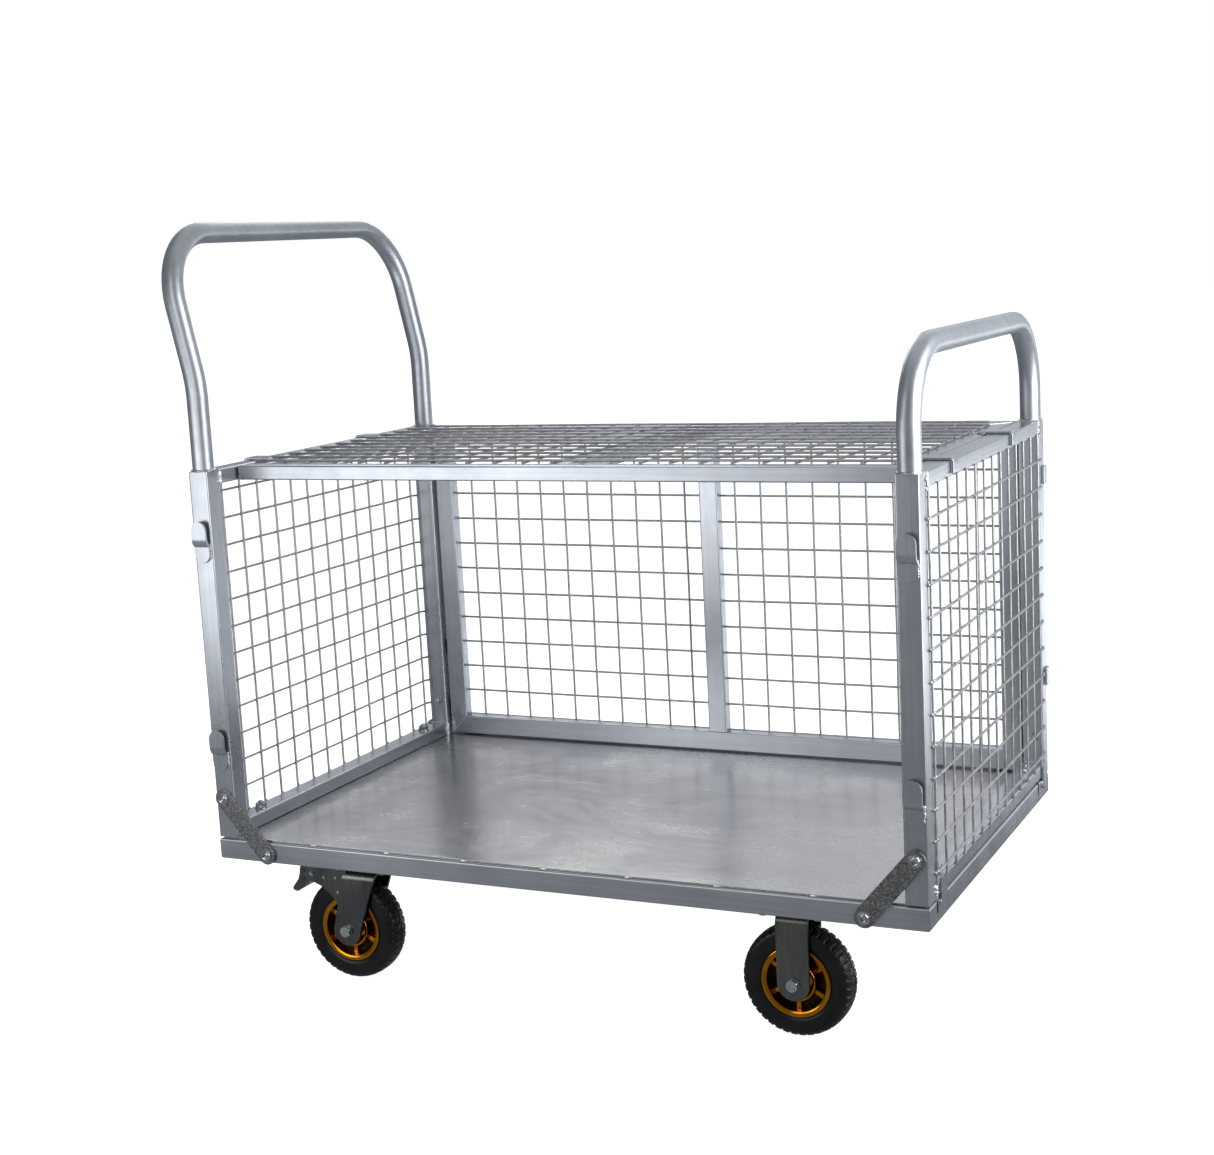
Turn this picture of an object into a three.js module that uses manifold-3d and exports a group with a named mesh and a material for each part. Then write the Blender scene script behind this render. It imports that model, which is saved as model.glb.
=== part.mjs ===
// Caged platform trolley: a steel deck on two braked swivel casters and two rigid casters, a bolted
// mesh frame with a tubular handle at each end, a mesh panel hung along the back, and a second panel
// of the same kind laid over the top as a lid. The long front side is open.
//
// Millimetres, +Z up. X runs along the deck (-X is the tall push handle, +X the short one),
// -Y is the open front. Everything is modelled from the deck rim's top centre, then moved so that
// the origin is on the floor, below the middle of the whole trolley.
import * as THREE from 'three';
import { mergeVertices } from 'three/addons/utils/BufferGeometryUtils.js';
import Module from 'manifold-3d';

const wasm = await Module();
wasm.setup();

// ---------------------------------------------------------------- driving dimensions
const GAP = 0.3; // clearance between pieces that touch

const DECK = { length: 1200, width: 729, rim: 34, rimWidth: 35, wall: 2.5, sheet: 2.7, sheetInset: 6 };
const STAKE_SLOT = { y: [-320, 300], width: 6, depth: 3, low: -19 };
const LUG = {
  y: [-297, 329], low: -4, high: 18, radius: 14, out: 3.3, pad: { half: 10, low: -14, high: -2 },
};
const BEARER = { width: 60, middleX: 18 };
const POST = { side: 35, top: 607, wall: 2, cap: 3 };
const RAIL = { width: 35, depth: 23, wall: 1.5 }; // the flat tube of every rail and panel frame
const RAIL_NUT = { radius: 9.5, height: 8, y: 269 };
const WIRE = 3.5;
const DRAWN_WIRES = 6; // end mesh wires drawn each way, about every second one of the real mesh
const END_MESH = {
  firstY: -328, lastY: 311.6, pitchZ: 45.4, rows: 12, topLeft: 565.3, topRight: 543.6, endZ: [20, 587.5],
};
const PANEL = {
  length: 1124, height: 600, meshPitch: 49.09, meshOffset: -6.3, firstRow: 33.8, rowPitch: 48.3,
  pitchesEachSide: 11, rowPitches: 11, drawnColumns: 10, drawnRows: 6,
  strap: 30, strapThick: 4, strapLift: 0.4, strapHeights: [167, 510], strapFrom: 549, flange: 19,
};
const BACK = { innerY: 341.4, bottomZ: 5 };
const LID = { rearY: 317 };
const HOOK = { width: 28, thick: 4, reach: 11, below: 54, above: 13, joggle: [-24, -19] };
const TUBE = { radius: 17, wall: 2, sides: 14, cornerSteps: 5, leanSteps: 2 };
const TALL_HANDLE = { top: 983, bendZ: 745, bendRadius: 260, lean: 49.5, corner: 115 };
const SHORT_HANDLE = { top: 775, corner: 115 };
const BRACE = { width: 31, thick: 5, rise: 70, drop: -20, run: 76.5, head: 8.5, headHeight: 5 };
const CASTER = {
  height: 196.5, wheelY: 308, swivelX: -348, rigidX: 385, trail: 34,
  plate: [110, 84, 4], leg: 5, legInner: 26, legWidth: 50, axle: 6, axleHead: 10, axleHeadHeight: 7,
  race: 32, raceHeight: 5, crown: 5, crownX: [-34, 27], legArc: [1.03 * Math.PI, 1.9 * Math.PI],
};
// The brake pedal's side view, and its pin, from the swivel axis and the deck's rim top.
const PEDAL = {
  outline: [
    [-88, -46], [-122, -44], [-125, -58], [-128, -70], [-139, -84], [-137, -89], [-131, -90],
    [-117, -81], [-108, -72], [-104, -64], [-88, -62],
  ],
  halfWidth: 22, pin: { x: -97, z: -55, radius: 3, halfLength: 24.5 },
};
// The plates beside the pedal overlap the fork's legs. The outline hangs from the crown's top.
const CHEEK = {
  outline: [[-30, 0], [-104, 0], [-108, -13], [-103, -23], [-80, -31], [-56, -50], [-45, -61], [-30, -57]],
  inset: 1, thick: 3,
};
const WHEEL = {
  radius: 85, width: 45, bore: 6.16, boss: 17, bossHalf: 24, web: 7,
  rim: { outer: 53.7, lip: 48, inner: 46, half: 19 },
  tyre: { seat: 54.2, bead: 58, wallInset: 0.5, shoulderDrop: 7, shoulderWidth: 9 },
  spokes: 6, spokeAngle: 0.26, pocket: { inner: 31.5, outer: 44, narrowing: 0.86 }, disc: 3,
};
// Facets round each turned shape.
const SIDES = { tyre: 32, hub: 24, race: 24, axle: 16, bolt: 12 };

const X0 = DECK.length / 2;
const Y0 = DECK.width / 2;
const POST_X = X0 - POST.side / 2;
const POST_Y = Y0 - POST.side / 2;
const FLOOR = -(DECK.rim + CASTER.height);
const PANEL_REACH = X0 + 2 * GAP + PANEL.strapThick; // outer face of a panel's hook straps
const FRAME_BOTTOM = 2 * GAP + DECK.sheet; // the end frames stand on the deck sheet
const OVERLAP = 1; // how far a cutter runs past what it cuts, or a welded-on piece sinks in
const STRAP_SINK = 0.1; // how far a hook strap sinks into the stile that it is welded to
const SAME_POINT = 1e-4; // vertices closer than this are one

// ---------------------------------------------------------------- materials
function material(color, roughness, metalness) {
  return new THREE.MeshStandardMaterial({ color, roughness, metalness });
}

const paint = material(0xa9afb8, 0.42, 0.75);
const sheetSteel = material(0x9c9b9d, 0.38, 0.85);
const zinc = material(0x8b9294, 0.5, 0.8);
const forkSteel = material(0x5a5c5c, 0.4, 0.85);
const rubber = material(0x17181a, 0.75, 0);
const gold = material(0xb4700f, 0.3, 0.9);

// ---------------------------------------------------------------- geometry helpers
function solidOf(geometry) {
  const bare = geometry.clone();
  bare.deleteAttribute('normal');
  bare.deleteAttribute('uv');
  const merged = mergeVertices(bare, SAME_POINT);
  return new wasm.Manifold(new wasm.Mesh({
    numProp: 3,
    vertProperties: new Float32Array(merged.attributes.position.array),
    triVerts: new Uint32Array(merged.index.array),
  }));
}

function geometryOf(solid) {
  const mesh = solid.getMesh();
  const geometry = new THREE.BufferGeometry();
  geometry.setAttribute('position', new THREE.BufferAttribute(new Float32Array(mesh.vertProperties), 3));
  geometry.setIndex(new THREE.BufferAttribute(new Uint32Array(mesh.triVerts), 1));
  return geometry;
}

function join(first, ...others) {
  return geometryOf(others.reduce((sum, other) => sum.add(solidOf(other)), solidOf(first)));
}

function cut(first, ...others) {
  return geometryOf(others.reduce((rest, other) => rest.subtract(solidOf(other)), solidOf(first)));
}

function common(a, b) {
  return geometryOf(solidOf(a).intersect(solidOf(b)));
}

// Extrudes a shape along an axis between two stations. The shape's two coordinates are
// Y and Z for an X extrusion, X and Z for a Y extrusion, X and Y for a Z extrusion.
function extrude(shape, axis, from, to, curveSegments = 4) {
  const geometry = new THREE.ExtrudeGeometry(shape, { depth: to - from, bevelEnabled: false, curveSegments });
  const x = new THREE.Vector3(1, 0, 0);
  const y = new THREE.Vector3(0, 1, 0);
  const z = new THREE.Vector3(0, 0, 1);
  const basis = new THREE.Matrix4();
  if (axis === 'x') basis.makeBasis(y, z, x).setPosition(from, 0, 0);
  if (axis === 'y') basis.makeBasis(x, z, y.negate()).setPosition(0, to, 0);
  if (axis === 'z') basis.makeTranslation(0, 0, from);
  return geometry.applyMatrix4(basis);
}

const polygon = (points) => new THREE.Shape(points.map(([a, b]) => new THREE.Vector2(a, b)));
const rectangle = (a0, a1, b0, b1) => polygon([[a0, b0], [a1, b0], [a1, b1], [a0, b1]]);

// The section of a tube whose first pair of sides may come in either order.
function rectangularTube(a, b, b0, b1, wall) {
  const a0 = Math.min(a, b);
  const a1 = Math.max(a, b);
  const shape = rectangle(a0, a1, b0, b1);
  shape.holes.push(rectangle(a0 + wall, a1 - wall, b0 + wall, b1 - wall));
  return shape;
}

function box(x0, x1, y0, y1, z0, z1) {
  return new THREE.BoxGeometry(x1 - x0, y1 - y0, z1 - z0)
    .translate((x0 + x1) / 2, (y0 + y1) / 2, (z0 + z1) / 2);
}

function cylinderY(radius, x, z, y0, y1, segments) {
  return new THREE.CylinderGeometry(radius, radius, y1 - y0, segments).translate(x, (y0 + y1) / 2, z);
}

// A bar with round ends between two points.
function capsuleShape(ax, ay, bx, by, radius) {
  const along = Math.atan2(by - ay, bx - ax);
  const shape = new THREE.Shape();
  shape.absarc(bx, by, radius, along - Math.PI / 2, along + Math.PI / 2);
  shape.absarc(ax, ay, radius, along + Math.PI / 2, along + 1.5 * Math.PI);
  return shape;
}

function discShape(radius) {
  const shape = new THREE.Shape();
  shape.absarc(0, 0, radius, 0, 2 * Math.PI);
  return shape;
}

// A flat grid of square wires in the plane across `axis`, cut from a slab: bars at stations `as` of
// the first direction and `bs` of the second. The first direction's bars run on to the two `ends`.
function grille(as, bs, ends, axis, from) {
  const r = WIRE / 2;
  const to = from + WIRE;
  const slab = extrude(rectangle(as[0] - r, as.at(-1) + r, ...ends), axis, from, to);
  const rows = [ends[0] - OVERLAP, ...bs.flatMap((b) => [b - r, b + r]), ends[1] + OVERLAP];
  const windows = [];
  for (let i = 1; i < as.length; i++) {
    for (let j = 0; j < rows.length; j += 2) {
      if (rows[j + 1] > ends[0] && rows[j] < ends[1]) {
        const window = rectangle(as[i - 1] + r, as[i] - r, rows[j], rows[j + 1]);
        windows.push(extrude(window, axis, from - OVERLAP, to + OVERLAP));
      }
    }
  }
  return cut(slab, ...windows);
}

function spread(first, last, count) {
  return Array.from({ length: count }, (_, i) => first + (last - first) * i / (count - 1));
}

// A bent tube's centre line: straight runs joined by arcs, with one station at each end of a run
// and `arcSteps` along each arc.
class BentPath extends THREE.Curve {
  constructor(corners, radii, arcSteps) {
    super();
    this.stations = [corners[0]];
    for (let i = 1; i < corners.length - 1; i++) {
      const into = corners[i].clone().sub(corners[i - 1]).normalize();
      const out = corners[i + 1].clone().sub(corners[i]).normalize();
      const turn = into.angleTo(out);
      const reach = radii[i - 1] * Math.tan(turn / 2);
      const start = corners[i].clone().addScaledVector(into, -reach);
      const normal = out.clone().addScaledVector(into, -out.dot(into)).normalize();
      for (let k = 0; k <= arcSteps[i - 1]; k++) {
        const angle = turn * k / arcSteps[i - 1];
        this.stations.push(start.clone()
          .addScaledVector(into, radii[i - 1] * Math.sin(angle))
          .addScaledVector(normal, radii[i - 1] * (1 - Math.cos(angle))));
      }
    }
    this.stations.push(corners.at(-1));
    this.steps = this.stations.length - 1;
  }

  getPoint(t, target = new THREE.Vector3()) {
    const at = Math.min(Math.max(t, 0), 1) * this.steps;
    const i = Math.min(Math.floor(at), this.steps - 1);
    return target.copy(this.stations[i]).lerp(this.stations[i + 1], at - i);
  }

  getPointAt(u, target) { return this.getPoint(u, target); }

  getTangentAt(u, target = new THREE.Vector3()) {
    const i = Math.round(u * this.steps);
    const before = this.stations[Math.max(i - 1, 0)];
    const here = this.stations[i];
    const after = this.stations[Math.min(i + 1, this.steps)];
    const into = here.clone().sub(before).normalize();
    const out = after.clone().sub(here).normalize();
    return target.copy(into).add(out).normalize();
  }

  getSpacedPoints(divisions) {
    return Array.from({ length: divisions + 1 }, (_, i) => this.getPoint(i / divisions));
  }
}

function bentTube(path) {
  const section = discShape(TUBE.radius);
  const inside = new THREE.Path();
  inside.absarc(0, 0, TUBE.radius - TUBE.wall, 0, 2 * Math.PI);
  section.holes.push(inside);
  return new THREE.ExtrudeGeometry(section, {
    steps: path.steps, extrudePath: path, bevelEnabled: false, curveSegments: TUBE.sides / 2,
  });
}

const trolley = new THREE.Group();

function add(parent, name, geometry, mat, x = 0, y = 0, z = 0) {
  const mesh = new THREE.Mesh(geometry, mat);
  mesh.name = name;
  mesh.position.set(x, y, z);
  parent.add(mesh);
  return mesh;
}

// ---------------------------------------------------------------- deck
function buildDeck(parent) {
  const w = DECK.rimWidth;
  const g = GAP / 2;
  const inset = DECK.sheetInset;
  const sheet = box(-X0 + inset, X0 - inset, -Y0 + inset, Y0 - inset, GAP, GAP + DECK.sheet);
  add(parent, 'deck_sheet', sheet, sheetSteel);

  // Mitred rim tubes round the deck.
  const mitred = (tube, plan) => common(tube, extrude(polygon(plan), 'z', -DECK.rim - OVERLAP, OVERLAP));
  for (const [name, side] of [['rim_front', -1], ['rim_back', 1]]) {
    const outer = side * Y0;
    const inner = side * (Y0 - w);
    const tube = extrude(rectangularTube(outer, inner, -DECK.rim, 0, DECK.wall), 'x', -X0, X0);
    const plan = [[-X0 + g, outer], [X0 - g, outer], [X0 - w - g, inner], [-X0 + w + g, inner]];
    add(parent, name, mitred(tube, plan), paint);
  }
  for (const [name, side] of [['rim_left', -1], ['rim_right', 1]]) {
    const outer = side * X0;
    const inner = side * (X0 - w);
    const tube = extrude(rectangularTube(outer, inner, -DECK.rim, 0, DECK.wall), 'y', -Y0, Y0);
    const plan = [[outer, -Y0 + g], [outer, Y0 - g], [inner, Y0 - w - g], [inner, -Y0 + w + g]];
    const rim = cut(mitred(tube, plan), ...STAKE_SLOT.y.map((y) => stakeSlot(outer, y)));
    add(parent, name, join(rim, ...LUG.y.flatMap((y) => lugPlate(side, y))), paint);
  }

  // Cross tubes below the sheet, one over each pair of casters and one between.
  const half = BEARER.width / 2;
  const reach = Y0 - w - GAP;
  const bearers = [['left', CASTER.swivelX], ['middle', BEARER.middleX], ['right', CASTER.rigidX]];
  for (const [place, x] of bearers) {
    const tube = extrude(rectangularTube(-half, half, -DECK.rim, -GAP, DECK.wall), 'y', -reach, reach);
    add(parent, `bearer_${place}`, tube, paint, x);
  }
}

function stakeSlot(outer, y) {
  const half = STAKE_SLOT.width / 2;
  return box(outer - STAKE_SLOT.depth, outer + STAKE_SLOT.depth, y - half, y + half, STAKE_SLOT.low, OVERLAP);
}

// A lug beside each stake slot, welded to the rim by its pad and clear of the frame above.
function lugPlate(side, y) {
  const shape = capsuleShape(y, LUG.low, y, LUG.high, LUG.radius);
  const plate = side > 0
    ? extrude(shape, 'x', X0 + GAP, X0 + LUG.out)
    : extrude(shape, 'x', -X0 - LUG.out, -X0 - GAP);
  const { half, low, high } = LUG.pad;
  const pad = box(side * X0 - OVERLAP, side * X0 + OVERLAP, y - half, y + half, low, high);
  return [plate, pad];
}

// ---------------------------------------------------------------- end frames
function buildPost(parent, name, sx, sy) {
  const outer = POST.side / 2;
  const inner = outer - POST.wall;
  const shell = box(-outer, outer, -outer, outer, FRAME_BOTTOM, POST.top);
  const hollow = box(-inner, inner, -inner, inner, FRAME_BOTTOM - OVERLAP, POST.top - POST.cap);
  add(parent, name, cut(shell, hollow), paint, sx * POST_X, sy * POST_Y);
}

function buildEndFrame(parent, side, sx, meshTop) {
  const inner = sx * (X0 - RAIL.width);
  const reach = Y0 - POST.side - GAP;
  const rail = (low) => {
    const section = rectangularTube(sx * X0, inner, low, low + RAIL.depth, RAIL.wall);
    return extrude(section, 'y', -reach, reach);
  };
  buildPost(parent, `post_${side}_front`, sx, -1);
  buildPost(parent, `post_${side}_rear`, sx, 1);
  add(parent, `end_top_rail_${side}`, rail(POST.top - RAIL.depth), paint);

  // The bottom rail is bolted down through the deck: hex nuts on its top face.
  const nutZ = FRAME_BOTTOM + RAIL.depth + RAIL_NUT.height / 2 - GAP / 2;
  const nuts = [-RAIL_NUT.y, RAIL_NUT.y].map((y) => (
    new THREE.CylinderGeometry(RAIL_NUT.radius, RAIL_NUT.radius, RAIL_NUT.height, 6)
      .rotateX(Math.PI / 2)
      .translate(sx * POST_X, y, nutZ)));
  add(parent, `end_bottom_rail_${side}`, join(rail(FRAME_BOTTOM), ...nuts), paint);

  const columns = spread(END_MESH.firstY, END_MESH.lastY, DRAWN_WIRES);
  const rows = spread(meshTop - END_MESH.pitchZ * (END_MESH.rows - 1), meshTop, DRAWN_WIRES);
  const face = sx > 0 ? X0 + GAP : -X0 - GAP - WIRE;
  add(parent, `end_grille_${side}`, grille(columns, rows, END_MESH.endZ, 'x', face), zinc);
}

// A bent tube handle standing on the two posts of one end. With a lean, its legs lean outwards
// above a bend.
function buildHandle(parent, name, sx, spec) {
  const at = (x, y, z) => new THREE.Vector3(sx * x, y, z);
  const topX = POST_X + (spec.lean ?? 0);
  const corners = [at(topX, -POST_Y, spec.top), at(topX, POST_Y, spec.top)];
  const radii = [spec.corner, spec.corner];
  const arcSteps = [TUBE.cornerSteps, TUBE.cornerSteps];
  if (spec.lean) {
    corners.unshift(at(POST_X, -POST_Y, spec.bendZ));
    corners.push(at(POST_X, POST_Y, spec.bendZ));
    radii.unshift(spec.bendRadius);
    radii.push(spec.bendRadius);
    arcSteps.unshift(TUBE.leanSteps);
    arcSteps.push(TUBE.leanSteps);
  }
  corners.unshift(at(POST_X, -POST_Y, POST.top + GAP));
  corners.push(at(POST_X, POST_Y, POST.top + GAP));
  add(parent, name, bentTube(new BentPath(corners, radii, arcSteps)), paint);
}

// A joggled flat hook on a post's outer face, open at the top, for a panel's strap to drop into.
// Its height is given at the middle of the strap that it holds.
function buildHook(parent, name, sx, sy, z) {
  const { thick, reach, below, above, joggle } = HOOK;
  const seat = -PANEL.strap / 2 - GAP;
  const profile = polygon([
    [GAP, -below], [GAP + thick, -below], [GAP + thick, joggle[0]], [reach, joggle[1]],
    [reach, above], [reach - thick, above], [reach - thick, seat], [GAP, seat],
  ].map(([out, up]) => [sy * (Y0 + out), up]));
  const r = HOOK.width / 2;
  const outline = capsuleShape(0, -below + r, 0, above - r, r);
  const middleY = sy * (Y0 + reach / 2);
  const front = extrude(outline, 'y', middleY - reach, middleY + reach);
  add(parent, name, common(extrude(profile, 'x', -r, r), front), paint, sx * POST_X, 0, z);
}

// A flat diagonal strap from a post's foot to the rim, with a bolt head at each end.
function buildBrace(parent, name, sx, sy) {
  const top = [sx * POST_X, BRACE.rise];
  const foot = [sx * (POST_X - BRACE.run), BRACE.drop];
  const inner = sy * (Y0 + GAP);
  const outer = inner + sy * BRACE.thick;
  const shape = capsuleShape(...top, ...foot, BRACE.width / 2);
  const strap = extrude(shape, 'y', Math.min(inner, outer), Math.max(inner, outer));
  const sunk = outer - sy * BRACE.thick / 2;
  const crown = outer + sy * BRACE.headHeight;
  const heads = [top, foot].map(([x, z]) => (
    cylinderY(BRACE.head, x, z, Math.min(sunk, crown), Math.max(sunk, crown), SIDES.bolt)));
  add(parent, name, join(strap, ...heads), zinc);
}

// ---------------------------------------------------------------- hung panels
// A panel lies flat here: X along it, its lower edge at y = 0 and its upper edge at y = -height,
// its inner face at z = 0. Straps on the outer face reach past both ends and turn inwards.
function buildPanel(name) {
  const panel = new THREE.Group();
  const a = PANEL.length / 2;
  const h = PANEL.height;
  const w = RAIL.width;
  const g = GAP / 2;
  const flatTube = (from, to) => rectangularTube(from, to, 0, RAIL.depth, RAIL.wall);
  const mitred = (tube, plan) => common(tube, extrude(polygon(plan), 'z', -OVERLAP, RAIL.depth + OVERLAP));

  for (const [part, outer, inner] of [['bottom', 0, -w], ['top', -h, -h + w]]) {
    const tube = extrude(flatTube(outer, inner), 'x', -a, a);
    const plan = [[-a + g, outer], [a - g, outer], [a - w - g, inner], [-a + w + g, inner]];
    add(panel, `${name}_${part}_tube`, mitred(tube, plan), paint);
  }
  for (const [part, s] of [['left', -1], ['right', 1]]) {
    const outer = s * a;
    const inner = s * (a - w);
    const tube = extrude(flatTube(outer, inner), 'y', -h, 0);
    const plan = [[outer, -g], [outer, -h + g], [inner, -h + w + g], [inner, -w - g]];
    add(panel, `${name}_${part}_stile`, join(mitred(tube, plan), ...hookStraps(s)), paint);
  }
  const bar = extrude(flatTube(-w / 2, w / 2), 'y', -h + w + GAP, -w - GAP);
  add(panel, `${name}_centre_bar`, bar, paint);
  add(panel, `${name}_grille`, panelGrille(), zinc);
  return panel;
}

// The two straps at one end: each is welded to the stile, runs past it and turns inwards.
function hookStraps(s) {
  const t = PANEL.strapThick;
  const low = RAIL.depth + PANEL.strapLift;
  const weldEnd = PANEL.length / 2 - OVERLAP;
  const sunk = RAIL.depth - STRAP_SINK;
  const profile = polygon([
    [PANEL.strapFrom, sunk], [weldEnd, sunk], [weldEnd, low], [PANEL_REACH - t, low],
    [PANEL_REACH - t, low - PANEL.flange], [PANEL_REACH, low - PANEL.flange],
    [PANEL_REACH, low + t], [PANEL.strapFrom, low + t],
  ].map(([x, z]) => [s * x, z]));
  return PANEL.strapHeights.map((v) => (
    extrude(profile, 'y', -v - PANEL.strap / 2, -v + PANEL.strap / 2)));
}

// The panel's mesh, its two lower corners clipped where the post braces pass outside them.
function panelGrille() {
  const d = RAIL.depth;
  const reach = PANEL.pitchesEachSide * PANEL.meshPitch;
  const columns = spread(PANEL.meshOffset - reach, PANEL.meshOffset + reach, PANEL.drawnColumns);
  const lastRow = PANEL.firstRow + PANEL.rowPitches * PANEL.rowPitch;
  const rows = spread(-lastRow, -PANEL.firstRow, PANEL.drawnRows);
  const mesh = grille(columns, rows, [rows[0] - WIRE / 2, rows.at(-1) + WIRE / 2], 'z', d + GAP);
  const top = BACK.bottomZ - BRACE.rise;
  const foot = BACK.bottomZ - BRACE.drop;
  const clips = [-1, 1].map((s) => {
    const shape = capsuleShape(s * POST_X, top, s * (POST_X - BRACE.run), foot, BRACE.width / 2 + OVERLAP);
    return extrude(shape, 'z', d, d + 2 * WIRE);
  });
  return cut(mesh, ...clips);
}

function buildPanels(parent) {
  const back = buildPanel('back');
  back.rotation.x = -Math.PI / 2;
  back.position.set(0, BACK.innerY, BACK.bottomZ);
  const lid = buildPanel('lid');
  lid.position.set(0, LID.rearY, POST.top + GAP - PANEL.strapLift - RAIL.depth);
  parent.add(back, lid);
}

// ---------------------------------------------------------------- casters
function lathe(points, segments) {
  const closed = [...points, points[0]].map(([radius, station]) => new THREE.Vector2(radius, station));
  return new THREE.LatheGeometry(closed, segments);
}

function buildWheel(parent, place, x, y) {
  const wheel = new THREE.Group();
  wheel.position.set(x, y, FLOOR + WHEEL.radius);
  parent.add(wheel);
  const { radius, rim, tyre, web, boss, bossHalf, bore, pocket } = WHEEL;
  const half = WHEEL.width / 2;
  const shoulder = radius - tyre.shoulderDrop;
  const wall = half - tyre.wallInset;
  const crown = half - tyre.shoulderWidth;
  add(wheel, `tyre_${place}`, lathe([
    [tyre.seat, -rim.half], [tyre.bead, -half], [shoulder, -wall], [radius, -crown],
    [radius, crown], [shoulder, wall], [tyre.bead, half], [tyre.seat, rim.half],
  ], SIDES.tyre), rubber);

  // Hub: rim ring, bored boss, and a web with pockets in both faces that leave spokes on a thin disc.
  const body = lathe([
    [bore, -bossHalf], [boss, -bossHalf], [boss, -web], [rim.inner, -web],
    [rim.lip, -rim.half], [rim.outer, -rim.half], [rim.outer, rim.half], [rim.lip, rim.half],
    [rim.inner, web], [boss, web], [boss, bossHalf], [bore, bossHalf],
  ], SIDES.hub);
  const halfOuter = Math.PI / WHEEL.spokes - WHEEL.spokeAngle / 2;
  const halfInner = halfOuter * pocket.narrowing;
  const pockets = Array.from({ length: WHEEL.spokes }, (_, i) => {
    const middle = Math.PI / 2 + i * 2 * Math.PI / WHEEL.spokes;
    const shape = new THREE.Shape();
    shape.absarc(0, 0, pocket.outer, middle - halfOuter, middle + halfOuter);
    shape.absarc(0, 0, pocket.inner, middle + halfInner, middle - halfInner, true);
    return [
      extrude(shape, 'y', -web - OVERLAP, -WHEEL.disc / 2, 2),
      extrude(shape, 'y', WHEEL.disc / 2, web + OVERLAP, 2),
    ];
  });
  add(wheel, `hub_${place}`, cut(body, ...pockets.flat()), gold);
}

function topPlate(z) {
  const [length, width, thick] = CASTER.plate;
  return box(-length / 2, length / 2, -width / 2, width / 2, z - thick, z);
}

function axleBolt(x, z) {
  const { axle, axleHead, axleHeadHeight } = CASTER;
  const out = CASTER.legInner + CASTER.leg;
  const headY = out + axleHeadHeight / 2 - GAP / 2;
  const heads = [-headY, headY].map((y) => (
    new THREE.CylinderGeometry(axleHead, axleHead, axleHeadHeight, 6).translate(x, y, z)));
  return [cylinderY(axle, x, z, -headY, headY, SIDES.axle), ...heads];
}

// The same plate on both sides of the wheel, between two distances from the middle.
function plateEachSide(shape, near, far) {
  return [extrude(shape, 'y', near, far, 6), extrude(shape, 'y', -far, -near, 6)];
}

function buildRigidCaster(parent, place, y) {
  const axleZ = FLOOR + WHEEL.radius;
  const top = -DECK.rim - GAP;
  const w = CASTER.legWidth / 2;
  const leg = new THREE.Shape();
  leg.moveTo(-w, top - OVERLAP);
  leg.absarc(0, axleZ, w, Math.PI, 2 * Math.PI);
  leg.lineTo(w, top - OVERLAP);
  const legs = plateEachSide(leg, CASTER.legInner, CASTER.legInner + CASTER.leg);
  const bracket = join(topPlate(top), ...legs, ...axleBolt(0, axleZ));
  add(parent, `rigid_bracket_${place}`, bracket, forkSteel, CASTER.rigidX, y);
  buildWheel(parent, place, CASTER.rigidX, y);
}

function buildSwivelCaster(parent, place, y) {
  const axleZ = FLOOR + WHEEL.radius;
  const top = -DECK.rim - GAP;
  const raceTop = top - CASTER.plate[2] - GAP;
  const crownTop = raceTop - CASTER.raceHeight;
  const x = -CASTER.trail;
  const out = CASTER.legInner + CASTER.leg;
  add(parent, `swivel_plate_${place}`, topPlate(top), forkSteel, CASTER.swivelX, y);

  // Fork: ball race, crown, two raked legs, the axle bolt, and the cheeks that carry the brake pedal.
  const raceHeight = CASTER.raceHeight + OVERLAP;
  const race = new THREE.CylinderGeometry(CASTER.race, CASTER.race, raceHeight, SIDES.race)
    .rotateX(Math.PI / 2)
    .translate(0, 0, raceTop - raceHeight / 2);
  const [crownLeft, crownRight] = CASTER.crownX;
  const crown = box(crownLeft, crownRight, -out, out, crownTop - CASTER.crown, crownTop);
  const leg = new THREE.Shape();
  leg.moveTo(crownLeft, crownTop);
  leg.absarc(x, axleZ, CASTER.legWidth / 2, ...CASTER.legArc);
  leg.lineTo(crownRight, crownTop);
  const cheek = polygon(CHEEK.outline.map(([along, up]) => [along, crownTop + up]));
  const near = CASTER.legInner - CHEEK.inset;
  const fork = join(
    race, crown, ...plateEachSide(leg, CASTER.legInner, out),
    ...plateEachSide(cheek, near, near + CHEEK.thick), ...axleBolt(x, axleZ));
  add(parent, `swivel_fork_${place}`, fork, forkSteel, CASTER.swivelX, y);

  // Brake pedal, pivoted between the cheeks on the trailing side.
  const arm = extrude(polygon(PEDAL.outline), 'y', -PEDAL.halfWidth, PEDAL.halfWidth);
  const { x: pinX, z: pinZ, radius, halfLength } = PEDAL.pin;
  const pedal = join(arm, cylinderY(radius, pinX, pinZ, -halfLength, halfLength, SIDES.bolt));
  add(parent, `brake_pedal_${place}`, pedal, forkSteel, CASTER.swivelX, y);
  buildWheel(parent, place, CASTER.swivelX + x, y);
}

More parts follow.
